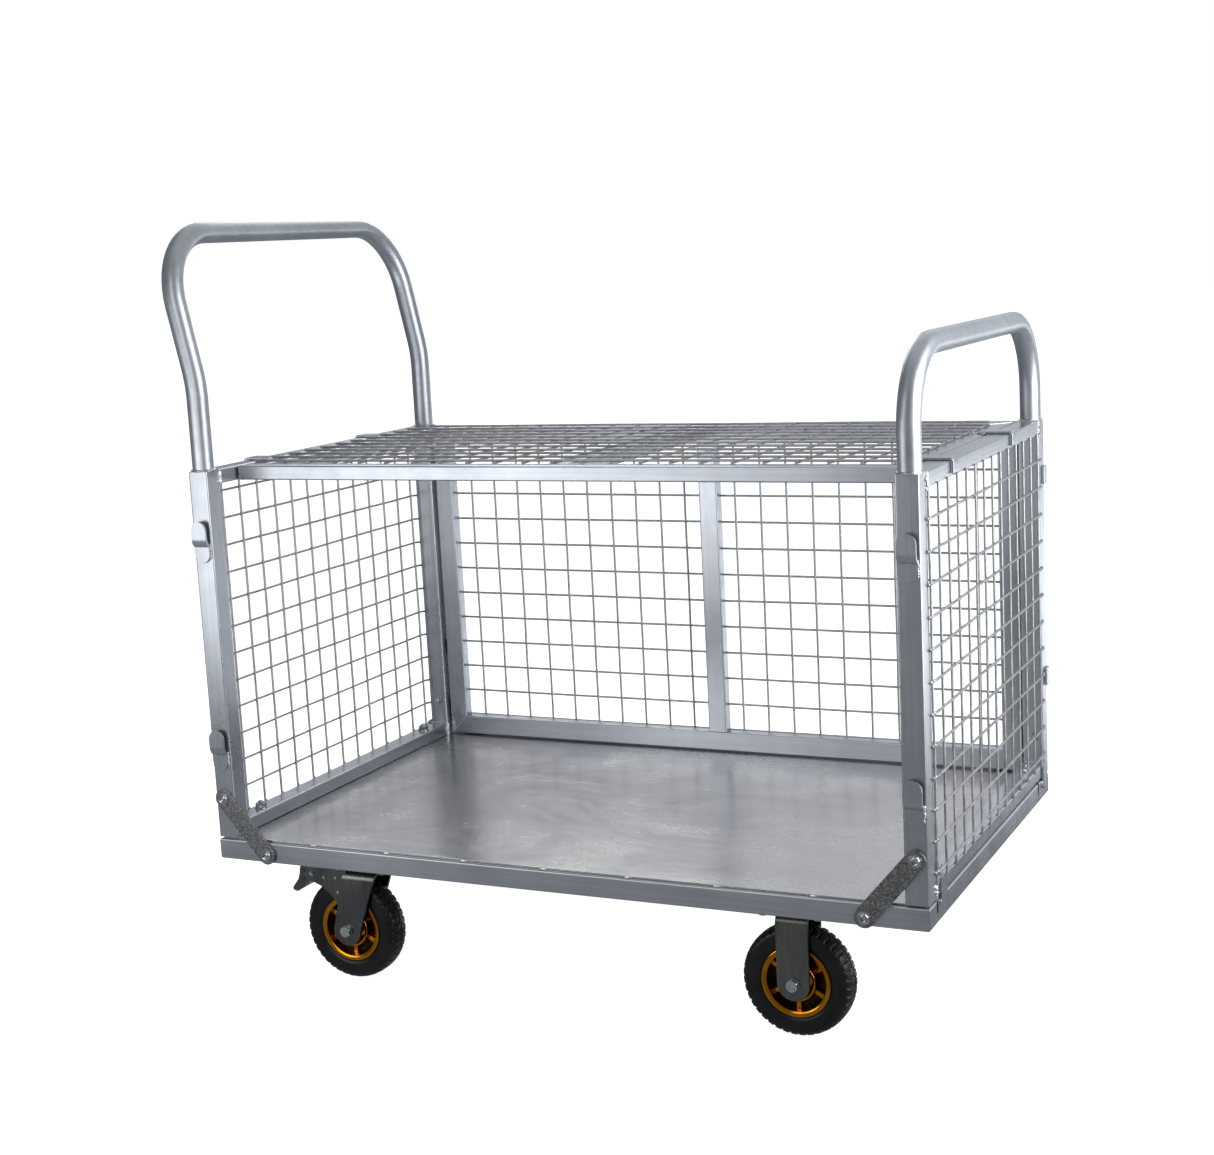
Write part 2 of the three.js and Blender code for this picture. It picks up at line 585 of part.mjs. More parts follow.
// ---------------------------------------------------------------- assembly
buildDeck(trolley);
buildEndFrame(trolley, 'left', -1, END_MESH.topLeft);
buildEndFrame(trolley, 'right', 1, END_MESH.topRight);
buildHandle(trolley, 'handle_tall', -1, TALL_HANDLE);
buildHandle(trolley, 'handle_short', 1, SHORT_HANDLE);
for (const [side, sx] of [['left', -1], ['right', 1]]) {
  for (const [face, sy] of [['front', -1], ['rear', 1]]) {
    for (const [level, v] of [['lower', PANEL.strapHeights[0]], ['upper', PANEL.strapHeights[1]]]) {
      buildHook(trolley, `hook_${side}_${face}_${level}`, sx, sy, BACK.bottomZ + v);
    }
    buildBrace(trolley, `brace_${side}_${face}`, sx, sy);
  }
}
buildPanels(trolley);
for (const [face, sy] of [['front', -1], ['rear', 1]]) {
  buildSwivelCaster(trolley, `left_${face}`, sy * CASTER.wheelY);
  buildRigidCaster(trolley, `right_${face}`, sy * CASTER.wheelY);
}

// The tall handle leans out past the left end and the panel straps stand out past the right end;
// the origin is half-way between them, on the floor.
const leftReach = POST_X + TALL_HANDLE.lean + TUBE.radius;
trolley.position.set((leftReach - PANEL_REACH) / 2, 0, -FLOOR);

const part = new THREE.Group();
part.add(trolley);
export default part;
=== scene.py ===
"""Caged platform trolley: the looks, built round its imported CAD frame.

Shapes are worked out in millimetres from the top centre of the deck's rim, as the CAD is, and are
put into the frame's metres when their piece is made. X runs along the deck, -X is the tall handle's
end, and -Y is the open front.
"""

import math
import random

import bmesh
import bpy
from mathutils import Matrix, Vector


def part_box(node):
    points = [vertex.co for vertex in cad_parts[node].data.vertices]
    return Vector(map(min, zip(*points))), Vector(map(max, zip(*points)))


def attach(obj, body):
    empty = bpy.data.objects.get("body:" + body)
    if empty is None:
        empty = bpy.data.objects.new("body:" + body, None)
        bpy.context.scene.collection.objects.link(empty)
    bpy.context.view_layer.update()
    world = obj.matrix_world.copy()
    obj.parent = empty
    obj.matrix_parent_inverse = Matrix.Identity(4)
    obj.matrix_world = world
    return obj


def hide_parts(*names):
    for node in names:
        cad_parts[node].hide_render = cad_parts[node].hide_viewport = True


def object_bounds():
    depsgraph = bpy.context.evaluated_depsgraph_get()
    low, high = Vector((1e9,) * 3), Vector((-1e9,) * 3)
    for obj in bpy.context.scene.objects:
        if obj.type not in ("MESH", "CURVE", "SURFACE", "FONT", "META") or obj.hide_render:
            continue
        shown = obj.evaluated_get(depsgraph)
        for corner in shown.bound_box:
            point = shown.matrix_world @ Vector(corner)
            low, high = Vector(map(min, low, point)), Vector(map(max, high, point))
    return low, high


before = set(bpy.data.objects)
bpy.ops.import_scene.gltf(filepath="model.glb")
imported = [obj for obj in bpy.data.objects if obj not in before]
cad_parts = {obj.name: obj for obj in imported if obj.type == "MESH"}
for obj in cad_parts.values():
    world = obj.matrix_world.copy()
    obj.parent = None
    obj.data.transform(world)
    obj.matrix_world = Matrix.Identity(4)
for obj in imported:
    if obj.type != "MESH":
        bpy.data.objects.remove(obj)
CAD_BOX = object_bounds()

# ---------------------------------------------------------------- frame and driving sizes
MM = 0.001
DECK_TOP = Vector((
    (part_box("rim_left")[0].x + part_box("rim_right")[1].x) / 2,
    (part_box("rim_front")[0].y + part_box("rim_back")[1].y) / 2,
    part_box("rim_front")[1].z,
))
TO_FRAME = Matrix.Translation(DECK_TOP) @ Matrix.Scale(MM, 4)
ENDS = (("left", -1), ("right", 1))
SIDES = (("front", -1), ("rear", 1))
CORNERS = [(end, sx, face, sy) for end, sx in ENDS for face, sy in SIDES]

TURN = 6.28  # a full turn in radians, near enough for random phases
WIRE = 2.0  # wire radius
WIRE_SINK = 1.0  # how far crossing wires are fused into each other
END_MESH = {"columns": 14, "first": -328, "pitch": 49.2, "rows": 12, "drop": 45.4, "reach": 337}
END_MESH_TOP = {"left": 565.3, "right": 543.6}  # topmost level wire: the two ends were cut differently
PANEL_MESH = {"columns": 11, "pitch": 49.09, "offset": -6.3, "rows": 12, "rise": 48.3, "first": 33.8}
TUBE_WIDTH = 35  # posts, rim tubes, and the panels' tubes seen from the front
TUBE_CORNER = 3.0
RAIL = {"depth": 23, "corner": 2.4, "nut_y": 269}
MITRE_GAP = 0.15
TALL_HANDLE = {"bend_z": 745, "bend_radius": 260, "corner": 115}
SHORT_HANDLE = {"corner": 115}
HANDLE_RADIUS = 17
FIT = 0.3  # gap behind a plate that lies on a tube
HOOK = {"thick": 4, "above": 13, "crease": -28, "knee": -21, "knee_radius": 16}
STRAP = {"width": 30, "thick": 4, "start": 549, "gap": 0.4, "lip": 19, "rises": (167, 510)}
BRACE = {"radius": 15.5, "thick": 5, "run": 76.5, "fall": 90}
STITCH_PITCH = 142
DENT = 0.35  # depth of the deck sheet's slow dents
STAKE_SLOT = {"places": (-324, 291), "half": 4.5, "foot": -19, "depth": 14, "corner": 1.5}
LUG = {"places": (-297, 329), "radius": 14, "low": -4, "high": 18, "thick": 3, "backing": (-14, -2)}
NUT_WASHER = 1.6
SMALL_NUT = {"flat": 6.5, "height": 6, "stud": 3}
LEG = {"thick": 5, "inner": 26, "width": 50, "bend": 14}
CASTER_PLATE = {"thick": 4, "corner": 8, "bolt_x": 42, "bolt_y": 30, "race": 5}
CHEEK_THICK = 3
TYRE = {"rim": 54.2, "blocks": 40, "steps": 14}  # steps is the number of segments to a block
TREAD = {"groove": 2.2, "block": 1.9, "lip": 0.7, "from": 0.2, "to": 0.97}
SPOKES = 6


def span(node):
    """Lowest and highest corner of a CAD node, in millimetres from the deck's top centre."""
    low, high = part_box(node)
    return (low - DECK_TOP) / MM, (high - DECK_TOP) / MM


# ---------------------------------------------------------------- mesh building
def round_edges(shell, width, steps=2, sharp=50):
    """Rounds the edges that turn by more than the sharp angle."""
    limit = math.radians(sharp)
    edges = [e for e in shell.edges if e.is_manifold and e.calc_face_angle() > limit]
    bmesh.ops.bevel(
        shell, geom=edges, offset=width, segments=steps, profile=0.5, affect="EDGES", clamp_overlap=True
    )
    return shell


def loft(rings, wrap=False):
    """A closed shell through rings of points. wrap joins the last ring to the first, with no caps."""
    shell = bmesh.new()
    rows = [[shell.verts.new(point) for point in ring] for ring in rings]
    nexts = rows[1:] + (rows[:1] if wrap else [])
    for row, after in zip(rows, nexts):
        for i in range(len(row)):
            j = (i + 1) % len(row)
            shell.faces.new((row[i], row[j], after[j], after[i]))
    if not wrap:
        shell.faces.new(rows[0][::-1])
        shell.faces.new(rows[-1])
    bmesh.ops.remove_doubles(shell, verts=shell.verts, dist=1e-4)
    bmesh.ops.recalc_face_normals(shell, faces=shell.faces)
    return shell


def place(axis, a, b, station):
    """A point from its two coordinates across an axis and its station along it."""
    return {"x": (station, a, b), "y": (a, station, b), "z": (a, b, station)}[axis]


def extrusion(outline, axis, start, end):
    """A prism along an axis; start and end are stations, or functions of an outline point."""
    def ring(where):
        return [place(axis, a, b, where(a, b) if callable(where) else where) for a, b in outline]

    return loft([ring(start), ring(end)])


def mitred(outline, axis, half, edge):
    """A tube cut at 45 degrees at both ends. It reaches half at the outline's edge coordinate."""
    def reach(a, b):
        return half - MITRE_GAP - abs(a - edge)

    return extrusion(outline, axis, lambda a, b: -reach(a, b), reach)


def turned(profile, centre, axis, facing=1, segments=32, bored=False):
    """A turned solid. Each profile point is (radius, station), and a radius may depend on the angle.
    bored joins the last point back to the first round a bore."""
    cx, cy, cz = centre
    rings = []
    for radius, station in profile:
        ring = []
        for k in range(segments):
            angle = 2 * math.pi * k / segments
            r = radius(angle) if callable(radius) else radius
            x, y, z = place(axis, r * math.cos(angle), r * math.sin(angle), facing * station)
            ring.append((cx + x, cy + y, cz + z))
        rings.append(ring)
    return loft(rings, wrap=bored)


def mirrored(profile):
    """A profile followed by its own mirror image, back from station 0."""
    return profile + [(radius, -station) for radius, station in profile[::-1] if station]


def resampled(path, spacing):
    """The same path with stations no further apart than spacing."""
    points = [Vector(p) for p in path]
    made = [points[0]]
    for a, b in zip(points, points[1:]):
        pieces = max(1, math.ceil((b - a).length / spacing))
        made += [a.lerp(b, k / pieces) for k in range(1, pieces + 1)]
    return made


def rounded_path(corners, radii, steps=8):
    """Straight runs between corners, joined by arcs of the given radii."""
    corners = [Vector(c) for c in corners]
    made = [corners[0]]
    for before, corner, after, radius in zip(corners, corners[1:], corners[2:], radii):
        into, out = (corner - before).normalized(), (after - corner).normalized()
        turn = into.angle(out)
        start = corner - into * radius * math.tan(turn / 2)
        side = (out - into * out.dot(into)).normalized()
        for k in range(steps + 1):
            angle = turn * k / steps
            made.append(start + into * radius * math.sin(angle) + side * radius * (1 - math.cos(angle)))
    return made + [corners[-1]]


def tangents(points, closed=False):
    last = len(points) - 1
    made = []
    for i in range(len(points)):
        before = points[i - 1] if i or closed else points[0]
        after = points[(i + 1) % len(points)] if i < last or closed else points[last]
        made.append((after - before).normalized())
    return made


def sweep(path, radius, sides=12, closed=False):
    """A round bar along a path; radius is one number, or one for each point."""
    points = [Vector(p) for p in path]
    radii = radius if isinstance(radius, list) else [radius] * len(points)
    directions = tangents(points, closed)
    up = directions[0].orthogonal().normalized()
    rings = []
    for point, along, r in zip(points, directions, radii):
        up = (up - along * up.dot(along)).normalized()
        side = along.cross(up)
        angles = [2 * math.pi * k / sides for k in range(sides)]
        rings.append([point + (up * math.cos(a) + side * math.sin(a)) * r for a in angles])
    return loft(rings, wrap=closed)


def ribbon(path, across, edges, thickness):
    """A bent plate. path is its middle line, and edges(point) gives its two edges along across."""
    points = [Vector(p) for p in path]
    across = Vector(across)
    rings = []
    for point, along in zip(points, tangents(points)):
        normal = along.cross(across).normalized() * thickness / 2
        low, high = edges(point)
        rings.append([
            point + normal + across * high, point + normal + across * low,
            point - normal + across * low, point - normal + across * high,
        ])
    return loft(rings)


def rounded_rectangle(a0, a1, b0, b1, radius, steps=4):
    a0, a1, b0, b1 = min(a0, a1), max(a0, a1), min(b0, b1), max(b0, b1)
    corners = [
        (a1 - radius, b1 - radius, 0), (a0 + radius, b1 - radius, 90),
        (a0 + radius, b0 + radius, 180), (a1 - radius, b0 + radius, 270),
    ]
    turns = [90 * k / steps for k in range(steps + 1)]
    return [
        (a + radius * math.cos(math.radians(start + t)), b + radius * math.sin(math.radians(start + t)))
        for a, b, start in corners for t in turns
    ]


def capsule(ax, ay, bx, by, radius, steps=14):
    """The outline of a bar with round ends."""
    heading = math.atan2(by - ay, bx - ax)
    turns = [-math.pi / 2 + math.pi * k / steps for k in range(steps + 1)]
    far = [(bx + radius * math.cos(heading + t), by + radius * math.sin(heading + t)) for t in turns]
    near = [(ax - radius * math.cos(heading + t), ay - radius * math.sin(heading + t)) for t in turns]
    return far + near


def moved(shell, placement):
    """A shell put somewhere else, its faces still pointing out."""
    bmesh.ops.transform(shell, matrix=placement, verts=shell.verts)
    if placement.to_3x3().determinant() < 0:
        bmesh.ops.reverse_faces(shell, faces=shell.faces)
    return shell


def shown(name, data):
    """A new object, linked into the scene."""
    made = bpy.data.objects.new(name, data)
    bpy.context.scene.collection.objects.link(made)
    return made


def carved(shell, cutters):
    """A shell with other shells cut out of it."""
    def as_object(solid, name):
        mesh = bpy.data.meshes.new(name)
        solid.to_mesh(mesh)
        solid.free()
        return shown(name, mesh)

    body = as_object(shell, "body")
    knives = [as_object(cutter, "knife") for cutter in cutters]
    for knife in knives:
        cut = body.modifiers.new("cut", "BOOLEAN")
        cut.operation = "DIFFERENCE"
        cut.solver = "EXACT"
        cut.object = knife
    evaluated = body.evaluated_get(bpy.context.evaluated_depsgraph_get())
    made = bmesh.new()
    made.from_mesh(evaluated.to_mesh())
    evaluated.to_mesh_clear()
    for thing in [body, *knives]:
        mesh = thing.data
        bpy.data.objects.remove(thing)
        bpy.data.meshes.remove(mesh)
    return made


def piece(name, shells, material, body, replaces=(), sharp=38):
    """One object in the frame's metres, made of closed shells in millimetres and riding on a CAD body."""
    whole = bmesh.new()
    part = bpy.data.meshes.new("part")
    for shell in shells:
        shell.to_mesh(part)
        shell.free()
        whole.from_mesh(part)
    bpy.data.meshes.remove(part)
    whole.transform(TO_FRAME)
    limit = math.radians(sharp)
    for face in whole.faces:
        face.smooth = True
    for edge in whole.edges:
        edge.smooth = edge.is_manifold and edge.calc_face_angle() < limit
    mesh = bpy.data.meshes.new(name)
    whole.to_mesh(mesh)
    whole.free()
    mesh.materials.append(material)
    made = shown(name, mesh)
    normals = made.modifiers.new("flat faces stay flat", "WEIGHTED_NORMAL")
    normals.keep_sharp = True
    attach(made, body)
    if replaces:
        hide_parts(*replaces)
    return made


# ---------------------------------------------------------------- welds and fasteners
def weld(path, size, rng, closed=False):
    """A bead of overlapping ripples along a path."""
    points = resampled(path, size * 0.3)  # about three stations to a ripple
    if closed:
        points = points[:-1]
    radii = []
    for i in range(len(points)):
        ripple = 0.1 * math.sin(i * 2.1) + rng.uniform(-0.08, 0.08)
        end = 0 if closed else min(i, len(points) - 1 - i)
        taper = 1 if closed else min(1, 0.45 + 0.2 * end)
        radii.append(size / 2 * (1 + ripple) * taper)
    return sweep(points, radii, sides=8, closed=closed)


def blob(centre, radius, rng, squash=(1, 1, 1)):
    """A weld spot: a small uneven lump."""
    profile = []
    for k in range(7):
        angle = math.pi * k / 6
        lump = 1 + rng.uniform(-0.12, 0.12)
        profile.append((radius * lump * math.sin(angle), -radius * math.cos(angle)))
    shell = turned(profile, (0, 0, 0), "z", segments=10)
    return moved(shell, Matrix.Translation(centre) @ Matrix.Diagonal((*squash, 1)))


def hexagon(flat):
    """Radius of a hexagon at an angle, from its half width across flats."""
    sector = math.pi / 3

    def radius(angle):
        return flat / math.cos((angle + sector / 2) % sector - sector / 2)

    return radius


def hexagonal(centre, axis, facing, flat, height):
    """A hexagonal nut or bolt head with its corners chamfered at both ends."""
    corner = hexagon(flat)
    face, lift, chamfer = flat * 0.93, 0.02 * flat, 0.12 * flat

    def clipped(angle):
        return min(corner(angle), flat * 1.03)

    profile = [
        (face, 0), (clipped, lift), (corner, chamfer),
        (corner, height - chamfer), (clipped, height - lift), (face, height),
    ]
    return turned(profile, centre, axis, facing, segments=48)


def washer(centre, axis, facing, radius, bore, thick=NUT_WASHER):
    bevel = 0.3
    profile = [
        (bore, 0), (radius - bevel, 0), (radius, bevel),
        (radius, thick - bevel), (radius - bevel, thick), (bore, thick),
    ]
    return turned(profile, centre, axis, facing, segments=40, bored=True)


def thread_end(centre, axis, facing, radius, start, end):
    """The end of a threaded bolt beyond its nut."""
    profile = [(radius * 0.6, start)]
    station, pitch = start, 1.2
    while station + pitch < end - pitch / 2:
        crest = [(radius, station + pitch * share) for share in (0.25, 0.5)]
        profile += [*crest, (radius * 0.9, station + pitch)]
        station += pitch
    profile += [(radius * 0.92, end - 0.5), (radius * 0.75, end)]
    return turned(profile, centre, axis, facing, segments=24)


def button_bolt(centre, facing, radius, height):
    """A button-head bolt with a hexagonal socket, on a washer."""
    socket = hexagon(radius * 0.42)
    dome = [(0.9, 1.2), (1, 1.2), (1, 2.0), (0.95, 3.0), (0.84, 4.0), (0.70, 4.8), (0.58, height)]
    profile = [(radius * share, station) for share, station in dome]
    profile += [(socket, height - 0.4), (socket, height - 3.4), (0.5, height - 3.9)]
    return [
        washer(centre, "y", facing, radius + 1.8, radius * 0.5),
        turned(profile, centre, "y", facing, segments=48),
    ]


def nut_on_bolt(centre, axis, facing, flat=8.0, height=7.5, stud=3.5):
    """A washer, a hexagonal nut and the bolt's end standing out of it."""
    seat = Vector(centre) + Vector(place(axis, 0, 0, facing * NUT_WASHER))
    return [
        washer(centre, axis, facing, flat * 1.3, flat * 0.55),
        hexagonal(seat, axis, facing, flat, height),
        thread_end(seat, axis, facing, flat * 0.6, height - 0.5, height + stud),
    ]


# ---------------------------------------------------------------- materials
class Nodes:
    """Short names for the shader nodes that the materials and the studio use."""

    def __init__(self, tree):
        self.tree = tree
        self.coordinates = None

    def feed(self, socket, value):
        """Gives a socket a value, a colour or another node's output."""
        if isinstance(value, bpy.types.NodeSocket):
            self.tree.links.new(value, socket)
        elif socket.type == "RGBA":
            socket.default_value = (*value, 1)
        else:
            socket.default_value = value

    def add(self, kind, inputs=None, **settings):
        node = self.tree.nodes.new(f"ShaderNode{kind}")
        for key, value in settings.items():
            setattr(node, key, value)
        for key, value in (inputs or {}).items():
            self.feed(node.inputs[key], value)
        return node

    def texture(self, kind, stretch, inputs):
        """A texture in object space, stretched along the axes."""
        if self.coordinates is None:
            self.coordinates = self.add("TexCoord").outputs["Object"]
        mapping = self.add("Mapping", {"Scale": stretch, "Vector": self.coordinates})
        return self.add(kind, {"Vector": mapping.outputs["Vector"], **inputs})

    def noise(self, scale, stretch=(1, 1, 1), detail=3.0, roughness=0.55, distortion=0.0):
        inputs = {"Scale": scale, "Detail": detail, "Roughness": roughness, "Distortion": distortion}
        return self.texture("TexNoise", stretch, inputs).outputs["Fac"]

    def cells(self, scale):
        return self.texture("TexVoronoi", (1, 1, 1), {"Scale": scale}).outputs["Color"]

    def ramp(self, fac, *stops):
        """Colours or grey levels at stops of a texture."""
        node = self.add("ValToRGB", {"Fac": fac})
        ramp = node.color_ramp
        while len(ramp.elements) < len(stops):
            ramp.elements.new(0.5)
        for element, (position, colour) in zip(ramp.elements, stops):
            element.position = position
            element.color = (*colour, 1) if isinstance(colour, tuple) else (colour, colour, colour, 1)
        return node.outputs["Color"]

    def blend(self, fac, first, second, mode="MIX"):
        node = self.add("Mix", data_type="RGBA", blend_type=mode)
        for name, value in (("Factor", fac), ("A", first), ("B", second)):
            self.feed([s for s in node.inputs if s.name == name and s.enabled][0], value)
        return [s for s in node.outputs if s.enabled][0]

    def shade(self, share, colour, texture, *stops):
        """Darkens a colour by a ramp of a texture."""
        return self.blend(share, colour, self.ramp(texture, *stops), "MULTIPLY")

    def cover(self, colour, tint, texture, *stops):
        """Lays a tint over a colour where a ramp of a texture is light."""
        return self.blend(self.ramp(texture, *stops), colour, tint)

    def bump(self, height, strength, distance, under=None):
        node = self.add("Bump", {"Strength": strength, "Distance": distance, "Height": height})
        if under is not None:
            self.feed(node.inputs["Normal"], under)
        return node.outputs["Normal"]

    def combined(self, first, second, operation="ADD"):
        return self.add("Math", {0: first, 1: second}, operation=operation).outputs["Value"]


def shaded(name, metallic, build, specular=0.5):
    """A material whose colour, roughness and normal come from build(nodes)."""
    material = bpy.data.materials.new(name)
    material.use_nodes = True
    shader = material.node_tree.nodes["Principled BSDF"]
    shader.inputs["Metallic"].default_value = metallic
    shader.inputs["Specular IOR Level"].default_value = specular
    nodes = Nodes(material.node_tree)
    for socket, output in zip(("Base Color", "Roughness", "Normal"), build(nodes)):
        nodes.feed(shader.inputs[socket], output)
    return material


def drawn(axis, along=3.0, across=260.0):
    """Texture stretch that draws a noise out into fine lines along an axis."""
    return tuple(along if a == axis else across for a in "xyz")


def frame_paint(axis, smooth, dull):
    """Silver-grey painted tube, with faint drawing lines along it, handling marks and dull patches."""
    def build(n):
        patches = n.noise(5.0, detail=4)
        lines = n.noise(1.0, drawn(axis), detail=2) if axis in "xyz" else n.noise(70.0, detail=3)
        marks = n.noise(38.0, detail=5, roughness=0.7)
        colour = n.ramp(patches, (0.3, (0.40, 0.425, 0.47)), (0.7, (0.52, 0.545, 0.59)))
        colour = n.shade(0.35, colour, lines, (0.35, 0.70), (0.65, 1.0))
        colour = n.cover(colour, (0.27, 0.29, 0.33), marks, (0.62, 0.0), (0.72, 0.2))
        patchy = n.ramp(patches, (0.25, smooth), (0.75, dull))
        roughness = n.blend(0.5, patchy, n.ramp(marks, (0.3, smooth), (0.75, dull + 0.06)))
        return colour, roughness, n.bump(marks, 0.03, 0.0006, n.bump(lines, 0.10, 0.0004))

    return shaded(f"frame_paint_{axis}", 0.88, build)


def deck_steel(n):
    """Rolled sheet: fine lines along its length, water marks, scuffs and slow dents."""
    rolling = n.noise(1.0, drawn("x", 2.0, 420.0), detail=2)
    stains = n.noise(3.2, detail=6, roughness=0.62, distortion=1.4)
    spots = n.noise(26.0, (1, 1.6, 1), detail=5, roughness=0.7)
    scuffs = n.noise(9.0, (0.6, 5.0, 1), detail=6, roughness=0.75, distortion=0.8)
    light, middle, dark = (0.53, 0.525, 0.53), (0.47, 0.465, 0.47), (0.36, 0.36, 0.375)
    colour = n.ramp(stains, (0.30, dark), (0.55, middle), (0.75, light))
    colour = n.shade(0.4, colour, rolling, (0.35, 0.78), (0.65, 1.0))
    colour = n.cover(colour, (0.20, 0.21, 0.25), scuffs, (0.60, 0.0), (0.70, 0.30))
    colour = n.cover(colour, (0.62, 0.62, 0.62), spots, (0.64, 0.0), (0.72, 0.25))
    stained = n.ramp(stains, (0.3, 0.15), (0.7, 0.32))
    roughness = n.blend(0.5, stained, n.ramp(spots, (0.3, 0.17), (0.75, 0.36)))
    return colour, roughness, n.bump(stains, 0.10, 0.0015, n.bump(rolling, 0.08, 0.0003))


def zinc_plate(n):
    """Hot-dipped zinc: mottled grey-green spangle with bright flecks."""
    spangle = n.cells(520.0)
    mottle = n.noise(340.0, detail=5, roughness=0.75)
    flecks = n.noise(700.0, detail=3, roughness=0.7)
    light, middle, dark = (0.50, 0.505, 0.51), (0.21, 0.215, 0.22), (0.08, 0.084, 0.09)
    colour = n.ramp(mottle, (0.36, dark), (0.52, middle), (0.66, light))
    colour = n.shade(0.35, colour, spangle, (0.0, 0.35), (1.0, 1.0))
    colour = n.cover(colour, (0.80, 0.82, 0.82), flecks, (0.58, 0.0), (0.64, 0.8))
    roughness = n.ramp(mottle, (0.3, 0.52), (0.7, 0.33))
    return colour, roughness, n.bump(flecks, 0.2, 0.0002, n.bump(mottle, 0.35, 0.0005))


def caster_steel(n):
    """Dark passivated zinc with yellowish bands, and streaks along its height that are painted reflections.
    """
    bands = n.noise(11.0, (1, 1, 0.5), detail=3, distortion=0.6)
    reflection_streaks = n.noise(1.0, (170.0, 170.0, 14.0), detail=3)
    grain = n.noise(420.0, detail=3, roughness=0.7)
    yellowish, middle, dark = (0.21, 0.20, 0.16), (0.14, 0.145, 0.145), (0.085, 0.09, 0.10)
    colour = n.ramp(bands, (0.30, dark), (0.52, middle), (0.72, yellowish))
    # Streaks along the height, lighter and darker in lines: painted reflection.
    colour = n.shade(0.5, colour, reflection_streaks, (0.35, 0.62), (0.65, 1.0))
    colour = n.cover(colour, (0.40, 0.40, 0.38), grain, (0.62, 0.0), (0.70, 0.5))
    roughness = n.blend(0.5, *(n.ramp(texture, (0.3, 0.20), (0.7, 0.36)) for texture in (bands, reflection_streaks)))
    return colour, roughness, n.bump(grain, 0.12, 0.0003)


def coated(name, metallic, coat, colours, roughness, grain, specular=0.5):
    """A material with a fine grain and an uneven coat. coat is the scale, detail and roughness of its
    noise, colours and roughness are stops over it, and grain is a noise scale and a bump strength."""
    def build(n):
        scale, detail, rough = coat
        patches = n.noise(scale, detail=detail, roughness=rough)
        fine = n.noise(grain[0], detail=2)
        return n.ramp(patches, *colours), n.ramp(patches, *roughness), n.bump(fine, grain[1], 0.0002)

    return shaded(name, metallic, build, specular)


def small_metal(name, low, high, rough_low, rough_high):
    """Fasteners, weld beads, and the painted shade put at the bottoms of hollows."""
    colours, roughness = [(0.3, low), (0.7, high)], [(0.3, rough_low), (0.7, rough_high)]
    return coated(name, 0.95, (150.0, 4, 0.65), colours, roughness, (1100.0, 0.15))


PAINT = {
    "x": frame_paint("x", 0.29, 0.38), "y": frame_paint("y", 0.18, 0.26),
    "z": frame_paint("z", 0.24, 0.33), "bent": frame_paint("bent", 0.33, 0.42),
}
DECK = shaded("deck_steel", 0.9, deck_steel)
# Zinc-coated wire with a dull, slightly uneven coat.
MESH_WIRE = coated(
    "mesh_wire", 0.85, (60.0, 4, 0.55), [(0.3, (0.30, 0.305, 0.32)), (0.7, (0.47, 0.475, 0.49))],
    [(0.3, 0.34), (0.7, 0.5)], (700.0, 0.15),
)
ZINC = shaded("zinc_plate", 0.9, zinc_plate)
CASTER = shaded("caster_steel", 0.92, caster_steel)
# Black rubber with a faint dusty bloom and moulding grain.
RUBBER = coated(
    "tyre_rubber", 0.0, (30.0, 4, 0.6), [(0.35, (0.005, 0.005, 0.006)), (0.75, (0.014, 0.014, 0.015))],
    [(0.3, 0.26), (0.75, 0.42)], (900.0, 0.12), specular=0.28,
)
# Amber anodised casting with a slightly uneven tint.
GOLD = coated(
    "hub_gold", 1.0, (24.0, 4, 0.55), [(0.3, (0.42, 0.15, 0.006)), (0.7, (0.60, 0.26, 0.016))],
    [(0.3, 0.13), (0.7, 0.22)], (640.0, 0.08),
)
FASTENER = small_metal("fastener_zinc", (0.32, 0.33, 0.34), (0.62, 0.63, 0.63), 0.14, 0.28)
# Painted shade: a near-black metal that stands for the shadow in the stake slots and in the hub's hollows.
PAINTED_SHADE_METAL = small_metal("painted_shade_dark", (0.012, 0.008, 0.004), (0.04, 0.022, 0.008), 0.22, 0.4)
WELD = small_metal("weld_bead", (0.40, 0.41, 0.43), (0.72, 0.73, 0.75), 0.24, 0.46)


# ---------------------------------------------------------------- deck
def rail_outline(low, high, axis, radius=TUBE_CORNER):
    """The rounded section of a CAD tube's box, across an axis."""
    a, b = [i for i in range(3) if "xyz"[i] != axis]
    return rounded_rectangle(low[a], high[a], low[b], high[b], radius)


